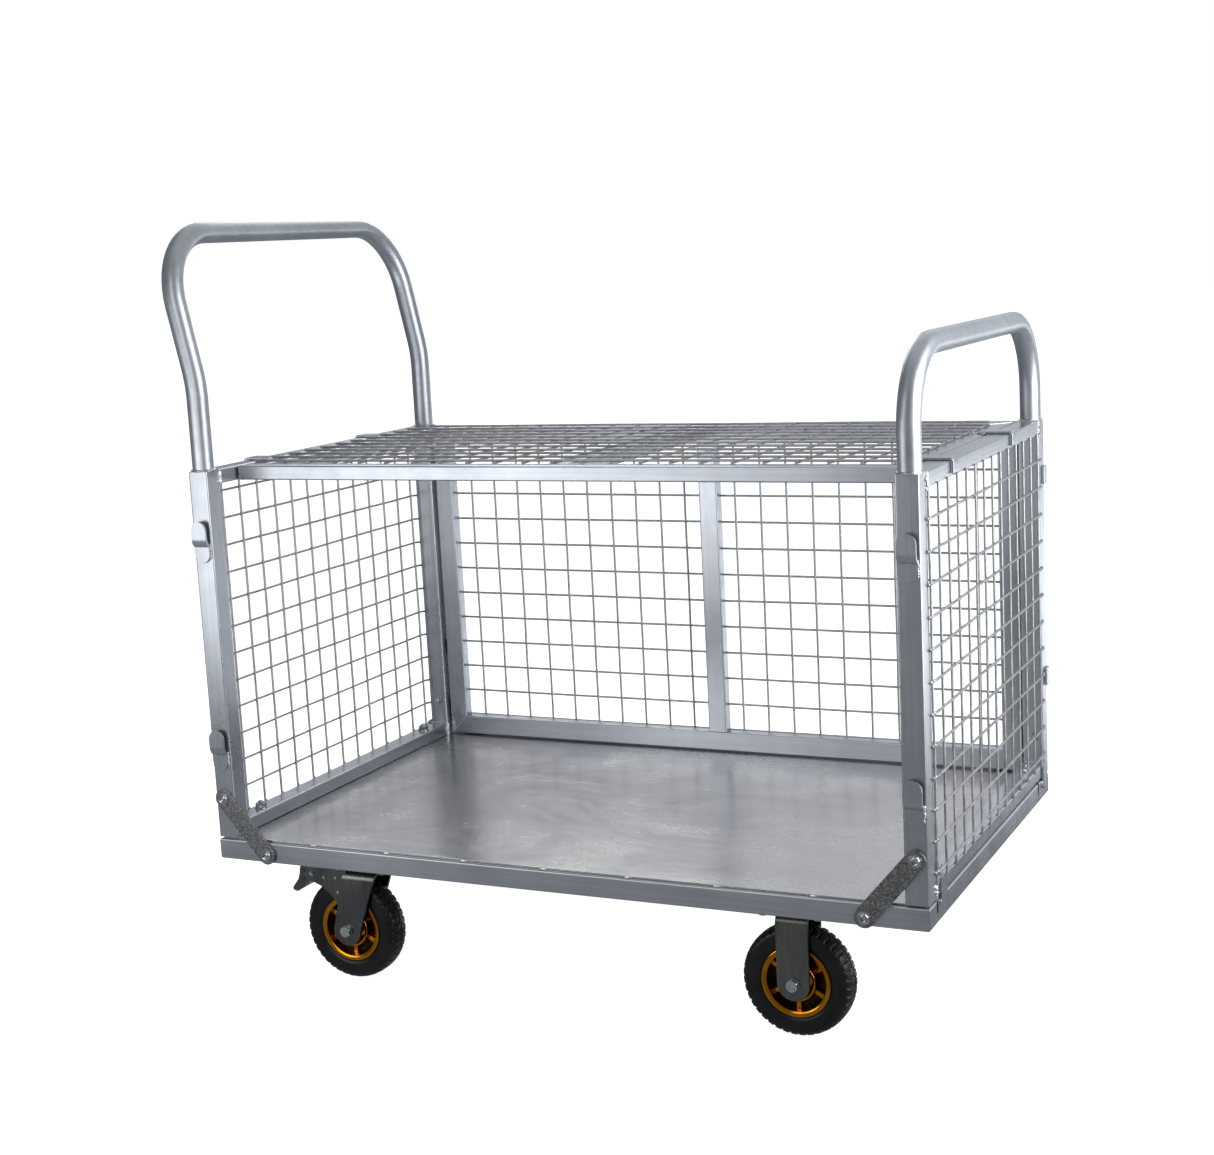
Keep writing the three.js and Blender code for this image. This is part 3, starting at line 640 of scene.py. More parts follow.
def build_rims(rng):
    """The mitred edge tubes, with stake slots and lug plates at the ends."""
    x_out, y_out = span("post_right_front")[1].x, span("post_right_rear")[1].y
    for name, side in (("rim_front", -1), ("rim_back", 1)):
        tube = mitred(rail_outline(*span(name), "x"), "x", x_out, side * y_out)
        piece(f"{name}_tube", [tube], PAINT["x"], "frame", [name])
    for end, side in ENDS:
        name = f"rim_{end}"
        x_in, under = x_out - TUBE_WIDTH, span(name)[0].z
        outline = rounded_rectangle(side * x_out, side * x_in, under, 0, TUBE_CORNER)
        tube = mitred(outline, "y", y_out, side * x_out)

        def plate(outline, inner, outer):
            """A prism between two distances out from the rim's end face."""
            return extrusion(outline, "x", side * (x_out + inner), side * (x_out + outer))

        # Each slot is open at the rim's top. A dark filling stands in it, behind the end face and a little
        # clear of its walls:
        # it is painted shade, standing for the shadow deep in the slot.
        slots, slot_painted_shades, play = [], [], 0.2
        half, foot, depth, corner = (STAKE_SLOT[key] for key in ("half", "foot", "depth", "corner"))
        for y in STAKE_SLOT["places"]:
            slots.append(plate(rounded_rectangle(y - half, y + half, foot, 5, corner), -depth, 3))
            outline = rounded_rectangle(y - half + play, y + half - play, foot + play, -1, corner)
            slot_painted_shades.append(plate(outline, play - depth, -3))
        lugs, beads = [], []
        radius, low, high, backing = (LUG[key] for key in ("radius", "low", "high", "backing"))
        for y in LUG["places"]:
            lugs.append(round_edges(plate(capsule(y, low, y, high, radius), FIT, FIT + LUG["thick"]), 0.5))
            lugs.append(plate(rounded_rectangle(y - 10, y + 10, *backing, 2), -1, 1))
            for edge in (-radius - 0.5, radius + 0.5):
                beads.append(weld([(side * (x_out + 1), y + edge, z) for z in backing], 3.2, rng))
        piece(f"{name}_tube", [carved(tube, slots), *lugs], PAINT["y"], "frame", [name])
        piece(f"{name}_slot_painted_shades", slot_painted_shades, PAINTED_SHADE_METAL, "frame")
        piece(f"{name}_welds", beads, WELD, "frame")


def build_deck_sheet(rng):
    """The deck's sheet, very slightly dented between its fixed edges, and its stitch welds."""
    low, high = span("deck_sheet")
    columns, rows = 96, 56
    ranges = ((3, 13), (2, 9), (0, TURN), (0.4, 1))
    waves = [[rng.uniform(*limits) for limits in ranges] for _ in range(9)]

    def dent(u, v):
        rise = sum(w * math.sin(a * u + p) * math.cos(b * v + 2 * p) for a, b, p, w in waves) / 3.2
        edge = min(1, 6 * u, 6 * (1 - u), 8 * v, 8 * (1 - v))
        return -DENT * edge * (1 + rise) / 2

    shell = bmesh.new()
    tops = []
    for j in range(rows + 1):
        v = j / rows
        y = low.y + (high.y - low.y) * v
        shares = [i / columns for i in range(columns + 1)]
        tops.append([shell.verts.new((low.x + (high.x - low.x) * u, y, high.z + dent(u, v))) for u in shares])
    for row, after in zip(tops, tops[1:]):
        for i in range(columns):
            shell.faces.new((row[i], row[i + 1], after[i + 1], after[i]))
    right, left = [row[-1] for row in tops[1:]], [row[0] for row in tops[-2:0:-1]]
    around = tops[0] + right + tops[-1][-2::-1] + left
    under = [shell.verts.new((p.co.x, p.co.y, low.z)) for p in around]
    for k in range(len(around)):
        after = (k + 1) % len(around)
        shell.faces.new((around[after], around[k], under[k], under[after]))
    shell.faces.new(under[::-1])
    bmesh.ops.recalc_face_normals(shell, faces=shell.faces)
    round_edges(shell, 0.5)
    piece("deck_plate", [shell], DECK, "frame", ["deck_sheet"])

    stitches = []
    for y in (low.y, high.y):
        for k in range(-3, 4):
            x = k * STITCH_PITCH + rng.uniform(-5, 5)
            stitches.append(weld([(x - 6, y, 0.9), (x + 6, y, 0.9)], 4.4, rng))
    piece("deck_stitch_welds", stitches, WELD, "frame")


def build_tube(node, axis, corner=TUBE_CORNER, top=None):
    """A straight tube in a CAD node's box, or up to top where the node stands higher than its tube."""
    low, high = span(node)
    if top is not None:
        high.z = top
    along = "xyz".index(axis)
    tube = extrusion(rail_outline(low, high, axis, corner), axis, low[along], high[along])
    if axis == "z":
        round_edges(tube, 0.8)
    piece(f"{node}_tube", [tube], PAINT[axis], "frame", [node])
    return low, high


def build_bearers():
    for name in ("left", "middle", "right"):
        build_tube(f"bearer_{name}", "y")


# ---------------------------------------------------------------- end frames
def outer_wall(end, face, sy):
    """Y of a post's outer face."""
    return span(f"post_{end}_{face}")[sy > 0].y


def build_posts(rng):
    for end, _, face, sy in CORNERS:
        name = f"post_{end}_{face}"
        low, high = build_tube(name, "z")

        # Beads where the two rails meet the post, and a few lumps at its foot.
        inner_y = low.y if sy > 0 else high.y
        beads = []
        for rail in (f"end_top_rail_{end}", f"end_bottom_rail_{end}"):
            rail_low, rail_high = span(rail)
            foot, top = rail_low.z, min(rail_high.z, rail_low.z + RAIL["depth"])
            for x in (low.x + 0.4, high.x - 0.4):
                beads.append(weld([(x, inner_y, foot - 3), (x, inner_y, top - 1)], 6.5, rng))
                for _ in range(12):
                    across, out = rng.uniform(-0.8, 0.8), rng.uniform(-5, 4)
                    spot = (x + across, inner_y + out, rng.uniform(foot - 2, top))
                    beads.append(blob(spot, rng.uniform(1.6, 3.4), rng))
            beads.append(weld([(x, inner_y, top - 0.2) for x in (low.x + 2, high.x - 2)], 4.0, rng))
        for k in range(4):
            beads.append(blob((low.x + 6 + 8 * k, inner_y, low.z + 1), 1.7, rng))
        piece(f"{name}_welds", beads, WELD, "frame")

        bolt_z = span(f"brace_{end}_{face}")[1].z - BRACE["radius"]
        nuts = nut_on_bolt(((low.x + high.x) / 2, inner_y, bolt_z), "y", -sy, **SMALL_NUT)
        piece(f"{name}_nut", nuts, FASTENER, "frame")


def build_end_rails():
    for end, _ in ENDS:
        build_tube(f"end_top_rail_{end}", "y", RAIL["corner"])
        name = f"end_bottom_rail_{end}"
        top = span(name)[0].z + RAIL["depth"]
        low, high = build_tube(name, "y", RAIL["corner"], top)
        nuts = []
        for y in (-RAIL["nut_y"], RAIL["nut_y"]):
            nuts += nut_on_bolt(((low.x + high.x) / 2, y, top), "z", 1)
        piece(f"{name}_nuts", nuts, FASTENER, "frame")


def wander(start, end, rng, amount=0.4, spacing=24):
    """A wire's line, hardly ever quite straight: slow bends that die out at its ends."""
    points = resampled([start, end], spacing)
    waves = [(rng.uniform(0.8, 2.6), rng.uniform(0, TURN), rng.uniform(0.3, 1) * amount) for _ in range(3)]
    for i in range(1, len(points) - 1):
        t = i / (len(points) - 1)
        fade = min(1, 8 * t, 8 * (1 - t))
        bend = [fade * size * math.sin(TURN * turns * t + phase) for turns, phase, size in waves]
        points[i] = points[i] + Vector(bend)
    return points


def build_end_meshes(rng):
    """Upright wires against the rails, and level wires outside them, dipping to the posts at their ends."""
    reach = END_MESH["reach"]
    columns = [END_MESH["first"] + k * END_MESH["pitch"] for k in range(END_MESH["columns"])]
    for end, sx in ENDS:
        node = f"end_grille_{end}"
        low, high = span(node)
        face = sx * span("post_right_front")[1].x
        inner, outer = face + sx * WIRE * 0.8, face + sx * (WIRE * 2.8 - WIRE_SINK)
        rows = [END_MESH_TOP[end] - k * END_MESH["drop"] for k in range(END_MESH["rows"])]
        wires, spots = [], []
        for y in columns:
            wires.append(sweep(wander((inner, y, low.z + 4), (inner, y, high.z - 1), rng), WIRE, 8))
            for z in (low.z + 6, high.z - 3):
                spots.append(blob((face + sx * 0.8, y + 2, z), 2.4, rng))
        for z in rows:
            middle = wander((outer, -reach + 16, z), (outer, reach - 16, z), rng)
            tip = inner - sx * 0.4
            first, last = ([(tip, s * reach, z - 1), (inner, s * (reach - 6), z - 0.6)] for s in (-1, 1))
            wires.append(sweep([*first, *middle, *last[::-1]], WIRE, 8))
            for y in (-reach + 2, reach - 2):
                spots.append(blob((face + sx * 0.8, y, z - 1), 2.9, rng))
            for y in columns:
                spots.append(blob(((inner + outer) / 2, y, z), WIRE * 1.12, rng, (1, 1.25, 1.25)))
        piece(f"end_mesh_{end}", wires + spots, MESH_WIRE, "frame", [node], sharp=50)


def handle_path(node, sx, spec):
    """The middle line of a handle's tube: up one leg, across, and down the other."""
    low, high = span(node)
    post_low, post_high = span("post_right_front")
    foot_x = sx * (post_low.x + post_high.x) / 2
    side = (high.y - low.y) / 2 - HANDLE_RADIUS
    top_x = (low.x + HANDLE_RADIUS) if sx < 0 else (high.x - HANDLE_RADIUS)
    leg, radii = [(foot_x, low.z)], []
    if "bend_z" in spec:
        leg.append((foot_x, spec["bend_z"]))
        radii.append(spec["bend_radius"])
    leg.append((top_x, high.z - HANDLE_RADIUS))
    radii.append(spec["corner"])
    corners = [(x, -side, z) for x, z in leg] + [(x, side, z) for x, z in leg[::-1]]
    return resampled(rounded_path(corners, radii + radii[::-1], 14), 14)


def build_handles(rng):
    for node, sx, spec in (("handle_tall", -1, TALL_HANDLE), ("handle_short", 1, SHORT_HANDLE)):
        path = handle_path(node, sx, spec)
        tube = sweep(path, HANDLE_RADIUS, 48)
        piece(f"{node}_tube", [tube], PAINT["bent"], "frame", [node], sharp=60)
        beads = []
        for foot in (path[0], path[-1]):
            def beside(angle, out, lift=0):
                """A point round the handle's foot, a little out from the tube."""
                heading = Vector((math.cos(angle), math.sin(angle), 0))
                return foot + heading * (HANDLE_RADIUS + out) + Vector((0, 0, lift))

            ring = [beside(2 * math.pi * k / 32, 0.6, 0.6) for k in range(33)]
            beads.append(weld(ring, 4.2, rng, closed=True))
            for _ in range(5):
                spot = beside(rng.uniform(0, TURN), 0.8)
                beads.append(blob(spot, rng.uniform(1.8, 2.8), rng, (1, 1, 0.8)))
        piece(f"{node}_welds", beads, WELD, "frame")


def build_hooks(rng):
    """Joggled hook plates: the foot lies on the post and the round top stands off it."""
    thick = HOOK["thick"]
    for end, _, face, sy in CORNERS:
        wall = outer_wall(end, face, sy)
        for level in ("lower", "upper"):
            name = f"hook_{end}_{face}_{level}"
            low, high = span(name)
            radius, x = (high.x - low.x) / 2, (high.x + low.x) / 2
            middle = high.z - HOOK["above"]
            lie = wall + sy * (FIT + thick / 2)
            stand = (high.y - thick / 2) if sy > 0 else (low.y + thick / 2)
            corners = [
                (x, lie, low.z), (x, lie, middle + HOOK["crease"]),
                (x, stand, middle + HOOK["knee"]), (x, stand, high.z),
            ]
            path = resampled(rounded_path(corners, [1.5, HOOK["knee_radius"]]), 1.4)

            def edges(point):
                inset = max(0.0, radius - min(point.z - low.z, high.z - point.z))
                half = math.sqrt(max(radius ** 2 - inset ** 2, 0.36))
                return -half, half

            plate = round_edges(ribbon(path, (1, 0, 0), edges, thick), 0.7)
            piece(f"{name}_plate", [plate], PAINT["z"], "frame", [name])

            # A thin bead round the foot, and lumps up both its sides.
            foot_z, out = low.z + radius, radius + FIT
            angles = [math.pi * k / 16 for k in range(17)]
            around = [(x + out * math.cos(t), wall + sy * 0.6, foot_z - out * math.sin(t)) for t in angles]
            spots = [sweep(around, 0.9, 8)]
            for side in (-1, 1):
                for k in range(7):
                    spot = (x + side * (radius + rng.uniform(-0.4, 0.8)), wall + sy, low.z + 8 + 3.4 * k)
                    spots.append(blob(spot, rng.uniform(1.2, 2.3), rng, (0.9, 1, 1.4)))
            piece(f"{name}_welds", spots, WELD, "frame")


def build_braces():
    """Flat straps from the posts' feet to the rim, each with two button-head bolts."""
    r = BRACE["radius"]
    for end, sx, face, sy in CORNERS:
        name = f"brace_{end}_{face}"
        low, high = span(name)
        top = (sx * (max(abs(low.x), abs(high.x)) - r), high.z - r)
        foot = (top[0] - sx * BRACE["run"], top[1] - BRACE["fall"])
        wall = outer_wall(end, face, sy)
        inner, outer = wall + sy * FIT, wall + sy * (FIT + BRACE["thick"])
        strap = round_edges(extrusion(capsule(*top, *foot, r), "y", inner, outer), 0.8)
        piece(f"{name}_strap", [strap], ZINC, "frame", [name])
        bolts = []
        for x, z in (top, foot):
            bolts += button_bolt((x, outer, z), sy, 8.2, 5.4)
        piece(f"{name}_bolts", bolts, FASTENER, "frame")
        nuts = nut_on_bolt((foot[0], wall - sy * TUBE_WIDTH, foot[1]), "y", -sy, **SMALL_NUT)
        piece(f"{name}_rim_nut", nuts, FASTENER, "frame")


# ---------------------------------------------------------------- hung panels
def panel_placement(name):
    """Takes a panel's own (along, up from its lower edge, out from its inner face) into the trolley."""
    low, high = span(f"{name}_bottom_tube")
    if name == "back":
        axes, origin = ((1, 0, 0), (0, 0, 1), (0, 1, 0)), (0, low.y, low.z)
    else:
        axes, origin = ((1, 0, 0), (0, -1, 0), (0, 0, 1)), (0, high.y, low.z)
    return Matrix.Translation(origin) @ Matrix(axes).transposed().to_4x4()


def build_panel(name, body, rng):
    low, high = span(f"{name}_bottom_tube")
    top_low, top_high = span(f"{name}_top_tube")
    half = high.x
    height = (top_high.z - low.z) if name == "back" else (high.y - top_low.y)
    depth, width, thick, start = RAIL["depth"], TUBE_WIDTH, STRAP["thick"], STRAP["start"]
    upright_paint = PAINT["z" if name == "back" else "y"]
    here = panel_placement(name)

    def section(a0, a1):
        return rounded_rectangle(a0, a1, 0, depth, RAIL["corner"])

    for part, v0, v1 in (("bottom", 0, width), ("top", height, height - width)):
        node = f"{name}_{part}_tube"
        tube = moved(mitred(section(v0, v1), "x", half, v0), here)
        piece(f"{node}_shell", [tube], PAINT["x"], body, [node])

    for part, s in ENDS:
        node = f"{name}_{part}_stile"
        stile = moved(extrusion(
            section(s * half, s * (half - width)), "y",
            lambda u, w: MITRE_GAP + half - abs(u), lambda u, w: height - MITRE_GAP - half + abs(u),
        ), here)
        tip = max(abs(corner.x) for corner in span(node)) - thick / 2
        seat, lip = depth + STRAP["gap"] + thick / 2, depth + STRAP["gap"] - STRAP["lip"]
        reach = STRAP["width"] / 2
        straps, beads = [], []

        def bead(points, size):
            beads.append(moved(weld(points, size, rng), here))

        for v in STRAP["rises"]:
            corners = [(s * start, v, seat), (s * tip, v, seat), (s * tip, v, lip)]
            path = resampled(rounded_path(corners, [4.5], 6), 6)
            strap = ribbon(path, (0, 1, 0), lambda point: (-reach, reach), thick)
            straps.append(moved(round_edges(strap, 1.1, 3), here))
            for edge in (-15, 15):
                bead([(u, v + edge, depth + 1.2) for u in (s * (start + 1), s * (half - 2))], 3.2)
            bead([(s * start, v + edge, depth + 1.4) for edge in (-13, 13)], 3.8)
            for _ in range(5):
                spot = (s * (start - rng.uniform(2, 20)), v + rng.uniform(-9, 9), depth + 1)
                beads.append(moved(blob(spot, rng.uniform(1.6, 2.8), rng), here))
        piece(f"{node}_tube", [stile, *straps], upright_paint, body, [node])
        for v0, lean in ((0, 1), (height, -1)):
            for out, size in ((depth + 0.05, 1.6), (-0.05, 1.2)):
                bead([(s * (half - k), v0 + lean * k, out) for k in (2, width - 2)], size)
        piece(f"{name}_{part}_welds", beads, WELD, body)

    node, gap = f"{name}_centre_bar", 2 * MITRE_GAP
    bar = moved(extrusion(section(-width / 2, width / 2), "y", width + gap, height - width - gap), here)
    piece(f"{node}_tube", [bar], upright_paint, body, [node])
    build_panel_mesh(name, body, here, rng)


def build_panel_mesh(name, body, here, rng):
    """Short wires against the frame and long wires outside them. The lower corners stop at the braces."""
    m, depth = PANEL_MESH, RAIL["depth"]
    columns = [m["offset"] + k * m["pitch"] for k in range(-m["columns"], m["columns"] + 1)]
    rows = [m["first"] + k * m["rise"] for k in range(m["rows"])]
    inner, outer = depth + WIRE * 0.8, depth + WIRE * 2.8 - WIRE_SINK
    wires, spots = [], []
    for u in columns:
        start = 50 if abs(u) > 530 else rows[0] - 6
        wires.append(sweep(wander((u, start, inner), (u, rows[-1] + 6, inner), rng), WIRE, 8))
        spots += [blob((u, v, depth + 0.6), 2.3, rng) for v in (rows[0] - 3, rows[-1] + 3) if v > start]
        crossings = [v for v in rows if v > start]
        spots += [blob((u, v, (inner + outer) / 2), WIRE * 1.12, rng, (1.25, 1.25, 1)) for v in crossings]
    for k, v in enumerate(rows):
        left, right = (columns[0] + 14, columns[-1] - 4) if k == 0 else (columns[0] - 6, columns[-1] + 6)
        wires.append(sweep(wander((left, v, outer), (right, v, outer), rng), WIRE, 8))
    shells = [moved(shell, here) for shell in wires + spots]
    piece(f"{name}_mesh", shells, MESH_WIRE, body, [f"{name}_grille"], sharp=50)


# ---------------------------------------------------------------- casters
def axle_hardware(x, y, z):
    """Hexagon head and nut with washers, outside the legs, and the spacers inside them."""
    made = []
    thin = 0.8
    for facing in (-1, 1):
        out = y + facing * (LEG["inner"] + LEG["thick"])
        made.append(washer((x, out, z), "y", facing, 9.4, 5, thin))
        made.append(hexagonal((x, out + facing * thin, z), "y", facing, 8.6, 6.4))
        spacer = [(6.1, 0), (9, 0), (9, 2.0), (6.1, 2.0)]
        made.append(turned(spacer, (x, y + facing * (LEG["inner"] - 2), z), "y", facing, bored=True))
    made.append(turned(mirrored([(5.8, -LEG["inner"] - 1)]), (x, y, z), "y", segments=24))
    return made


def caster_plate(low, high, under):
    """A caster's top plate in its CAD box, from under up."""
    outline = rounded_rectangle(low.x, high.x, low.y, high.y, CASTER_PLATE["corner"])
    return round_edges(extrusion(outline, "z", under, high.z), 0.8)


def plate_bolts(x, y, under):
    """Four flat hexagon heads under a caster's top plate, thin enough to clear a turning fork."""
    return [
        hexagonal((x + sx * CASTER_PLATE["bolt_x"], y + sy * CASTER_PLATE["bolt_y"], under), "z", -1, 6.5, 4)
        for sx in (-1, 1) for sy in (-1, 1)
    ]


def u_bracket(centre_x, y, crown_z, foot_z, x_range):
    """An inverted U of plate: two legs joined by a crown with round bends. x_range(z) is its width."""
    out = LEG["inner"] + LEG["thick"] / 2
    corners = [(centre_x, y - out, foot_z), (centre_x, y - out, crown_z)]
    corners += [(centre_x, y + out, crown_z), (centre_x, y + out, foot_z)]
    path = resampled(rounded_path(corners, [LEG["bend"], LEG["bend"]], 10), 2.5)

    def edges(point):
        low, high = x_range(point.z)
        return low - centre_x, high - centre_x

    return round_edges(ribbon(path, (1, 0, 0), edges, LEG["thick"]), 0.7)


def smooth_profile(points, passes=3):
    """Rounds a profile's corners by averaging each inner point with its neighbours."""
    for _ in range(passes):
        inner = [
            (a[0] / 4 + b[0] / 2 + c[0] / 4, a[1] / 4 + b[1] / 2 + c[1] / 4)
            for a, b, c in zip(points, points[1:], points[2:])
        ]
        points = [points[0], *inner, points[-1]]
    return points


def tread_radius(r, y, radius, half):
    """Radius round a tyre's crown: a zigzag groove in the middle, and blocks that alternate at its sides."""
    across = abs(y) / half
    start, end = TREAD["from"], TREAD["to"]

    def radius_at(angle):
        turn = angle * TYRE["blocks"] / (2 * math.pi)
        zigzag = (turn % 1.0 - 0.5) * 5.0
        depth = TREAD["groove"] if abs(y - zigzag) < 1.3 and r > radius - 1.5 else 0.0
        gap = (turn + (0.5 if y > 0 else 0.0)) % 1.0
        near = min(gap, 1 - gap)
        if start < across < end and near < 0.2:
            fade = min(1.0, (across - start) * 6, (end - across) * 6)
            depth = max(depth, (TREAD["block"] if near < 0.12 else TREAD["lip"]) * fade)
        return r - depth

    return radius_at


def build_wheel(end, face, body):
    """Tyre with its tread, and the spoked hub inside it."""
    place_name = f"{end}_{face}"
    low, high = span(f"tyre_{place_name}")
    centre = (low + high) / 2
    radius, half, rim = (high.z - low.z) / 2, (high.y - low.y) / 2, TYRE["rim"]

    # Outer profile from bead to crown: side wall, shoulder, crown.
    shape = [
        (rim + 0.4, 0.84), (rim + 2.5, 0.93), (rim + 7, 0.985), (rim + 13, 1.0), (rim + 20, 0.98),
        (radius - 5.5, 0.90), (radius - 2.2, 0.74), (radius - 0.6, 0.50), (radius, 0.26), (radius, 0.0),
    ]
    curve, steps = [], 3
    for (r0, y0), (r1, y1) in zip(shape, shape[1:]):
        curve += [(r0 + (r1 - r0) * k / steps, y0 + (y1 - y0) * k / steps) for k in range(steps)]
    profile = mirrored([(r, -y * half) for r, y in smooth_profile(curve + [shape[-1]])])
    treaded = [(tread_radius(r, y, radius, half) if r > radius - 9 else r, y) for r, y in profile]
    closed = [(rim, -0.80 * half), *treaded, (rim, 0.80 * half)]
    tyre = turned(closed, centre, "y", segments=TYRE["blocks"] * TYRE["steps"], bored=True)
    piece(f"tyre_{place_name}_tread", [tyre], RUBBER, body, [f"tyre_{place_name}"], sharp=45)

    # The casting's rings, as (radius, station along the axle): outer rim, the ring its
    # spokes start from, and the boss round the axle.
    outer_ring = mirrored([(46, -19), (48.2, -20.6), (51.5, -21.2), (53.7, -20.0), (53.9, -18)])
    outer_ring += mirrored([(45.2, 8), (44.2, 4)])
    inner_ring = mirrored([(25.5, -17), (27, -18.6), (29.6, -18.6), (31, -17), (32, -7), (32.8, 0)])
    inner_ring += mirrored([(24.5, 6)])
    boss = mirrored([(6.2, -23.6), (15.5, -23.6), (17, -22.4), (17, -8), (25.5, -5)])
    rings = (outer_ring, inner_ring, boss)
    shells = [turned(points, centre, "y", segments=72, bored=True) for points in rings]
    for k in range(SPOKES):
        angle = 2 * math.pi * (k + 0.5) / SPOKES
        spoke = extrusion(rounded_rectangle(30.5, 46, -3.6, 3.6, 1.0), "y", -9, 9)
        turn = Matrix.Translation(centre) @ Matrix.Rotation(-angle, 4, "Y")
        shells.append(moved(round_edges(spoke, 1.4, 3), turn))
    piece(f"hub_{place_name}_casting", shells, GOLD, body, [f"hub_{place_name}"], sharp=45)
    # A near-black disc between the spokes: painted shade for the hub's dark hollows.
    painted_shade_web = mirrored([(29, -1.5), (38, -2.5), (45.5, -1.5)])
    recess = turned(painted_shade_web, centre, "y", segments=72, bored=True)
    piece(f"hub_{place_name}_recess", [recess], PAINTED_SHADE_METAL, body)


def build_rigid_caster(face):
    name = f"rigid_bracket_right_{face}"
    low, high = span(name)
    wheel_low, wheel_high = span(f"tyre_right_{face}")
    x, y, axle = (wheel_low + wheel_high) / 2
    under = high.z - CASTER_PLATE["thick"]
    w = LEG["width"] / 2

    def x_range(z):
        reach = math.sqrt(max(w * w - max(axle - z, 0) ** 2, 9.0))
        return x - reach, x + reach

    bracket = u_bracket(x, y, under - LEG["thick"] / 2, axle - w, x_range)
    shells = [caster_plate(low, high, under), bracket]
    piece(f"{name}_plate", shells, CASTER, "frame", [name])
    hardware = axle_hardware(x, y, axle) + plate_bolts(x, y, under)
    piece(f"{name}_hardware", hardware, FASTENER, "frame")


def build_swivel_caster(face):
    names = ("swivel_plate", "swivel_fork", "brake_pedal", "swivel", "pedal")
    plate_name, fork_name, pedal_name, body, pedal_body = (f"{name}_left_{face}" for name in names)
    low, high = span(plate_name)
    plate = caster_plate(low, high, low.z)
    piece(f"{plate_name}_sheet", [plate], CASTER, "frame", [plate_name])
    swivel_x, y = (low.x + high.x) / 2, (low.y + high.y) / 2
    piece(f"{plate_name}_bolts", plate_bolts(swivel_x, y, low.z), FASTENER, "frame")
    wheel_low, wheel_high = span(f"tyre_left_{face}")
    axle_x, _, axle = (wheel_low + wheel_high) / 2
    crown_top = span(fork_name)[1].z - CASTER_PLATE["race"]
    w = LEG["width"] / 2

    def x_range(z):
        """Round at the foot, and leaning forward and widening up to the crown."""
        rise = max(0.0, min(1.0, (z - axle) / (crown_top - axle)))
        if z < axle:
            reach = math.sqrt(max(w * w - (axle - z) ** 2, 16.0))
            return axle_x - reach, axle_x + reach
        crown = (swivel_x - 34, swivel_x + 27)
        return tuple(foot * (1 - rise) + top * rise for foot, top in zip((axle_x - w, axle_x + w), crown))

    fork = u_bracket(axle_x, y, crown_top - LEG["thick"] / 2, axle - w, x_range)
    race = [(10, 0), (30, 0), (32, 1), (32, 2), (30.5, 2.6), (32, 3.2), (32, 4.4), (30, 5), (10, 5)]
    races = turned(race, (swivel_x, y, crown_top - 0.2), "z", segments=64, bored=True)
    cheek = [
        (-30, 0), (-100, 0), (-106, -3), (-108, -12), (-107, -18), (-102, -23), (-80, -31), (-66, -41),
        (-58, -49), (-52, -58), (-45, -61), (-30, -57),
    ]
    outline = [(swivel_x + a, crown_top + b) for a, b in cheek]
    outside = LEG["inner"] + 2
    cheeks = []
    for s in (-1, 1):
        side_plate = extrusion(outline, "y", y + s * (outside - CHEEK_THICK), y + s * outside)
        cheeks.append(round_edges(side_plate, 0.8, sharp=40))
    piece(f"{fork_name}_plates", [fork, races, *cheeks], CASTER, body, [fork_name])

    # The pedal's pin and three rivets, each (back from the swivel, height, head radius).
    pins = ((97, -55, 4.2), (72, -59, 3.4), (50, -58, 3.0), (47, -82, 3.2))
    hardware = axle_hardware(axle_x, y, axle)
    for s in (-1, 1):
        for back, z, size in pins:
            head = [(size, -0.6), (size, 1.2), (size * 0.8, 2.2), (size * 0.3, 2.6)]
            hardware.append(turned(head, (swivel_x - back, y + s * outside, z), "y", s, segments=24))
    piece(f"{fork_name}_hardware", hardware, FASTENER, body)

    arm = [
        (-88, -46), (-118, -44), (-122, -45), (-124, -52), (-125, -60), (-128, -69), (-134, -77),
        (-139, -83), (-140, -87), (-137, -90), (-131, -91), (-124, -87), (-117, -81), (-111, -76),
        (-107, -69), (-102, -64), (-88, -62),
    ]
    outline = [(swivel_x + a, b) for a, b in arm]
    shells = [round_edges(extrusion(outline, "y", y - 22, y + 22), 1.6, 3, sharp=35)]
    stud = [(2.6, -23.5), (3, -22)]
    for profile, back, z in (([(3, -24.5)], *pins[0][:2]), (stud, 116, -54), (stud, 116, -68)):
        shells.append(turned(mirrored(profile), (swivel_x - back, y, z), "y", segments=20))
    piece(f"{pedal_name}_arm", shells, CASTER, pedal_body, [pedal_name])


# ---------------------------------------------------------------- assembly
def build_trolley():
    rng = random.Random(11)
    build_rims(rng)
    build_deck_sheet(rng)
    build_bearers()
    build_posts(rng)
    build_end_rails()
    build_end_meshes(rng)
    build_handles(rng)
    build_hooks(rng)
    build_braces()
    build_panel("back", "back_panel", rng)
    build_panel("lid", "lid", rng)
    for face, _ in SIDES:
        build_rigid_caster(face)
        build_swivel_caster(face)
        for end, _ in ENDS:
            build_wheel(end, face, f"wheel_{end}_{face}")


# ---------------------------------------------------------------- studio
def area_light(name, location, target, width, height, power):
    """A soft box at location, facing target and hidden from the camera."""
    light = bpy.data.lights.new(name, "AREA")
    light.shape = "RECTANGLE"
    light.size, light.size_y = width, height
    light.energy = power
    away = (Vector(location) - Vector(target)).normalized()
    lamp = shown(name, light)
    lamp.matrix_world = Matrix.Translation(location) @ away.to_track_quat("Z", "Y").to_matrix().to_4x4()
    lamp.visible_camera = False


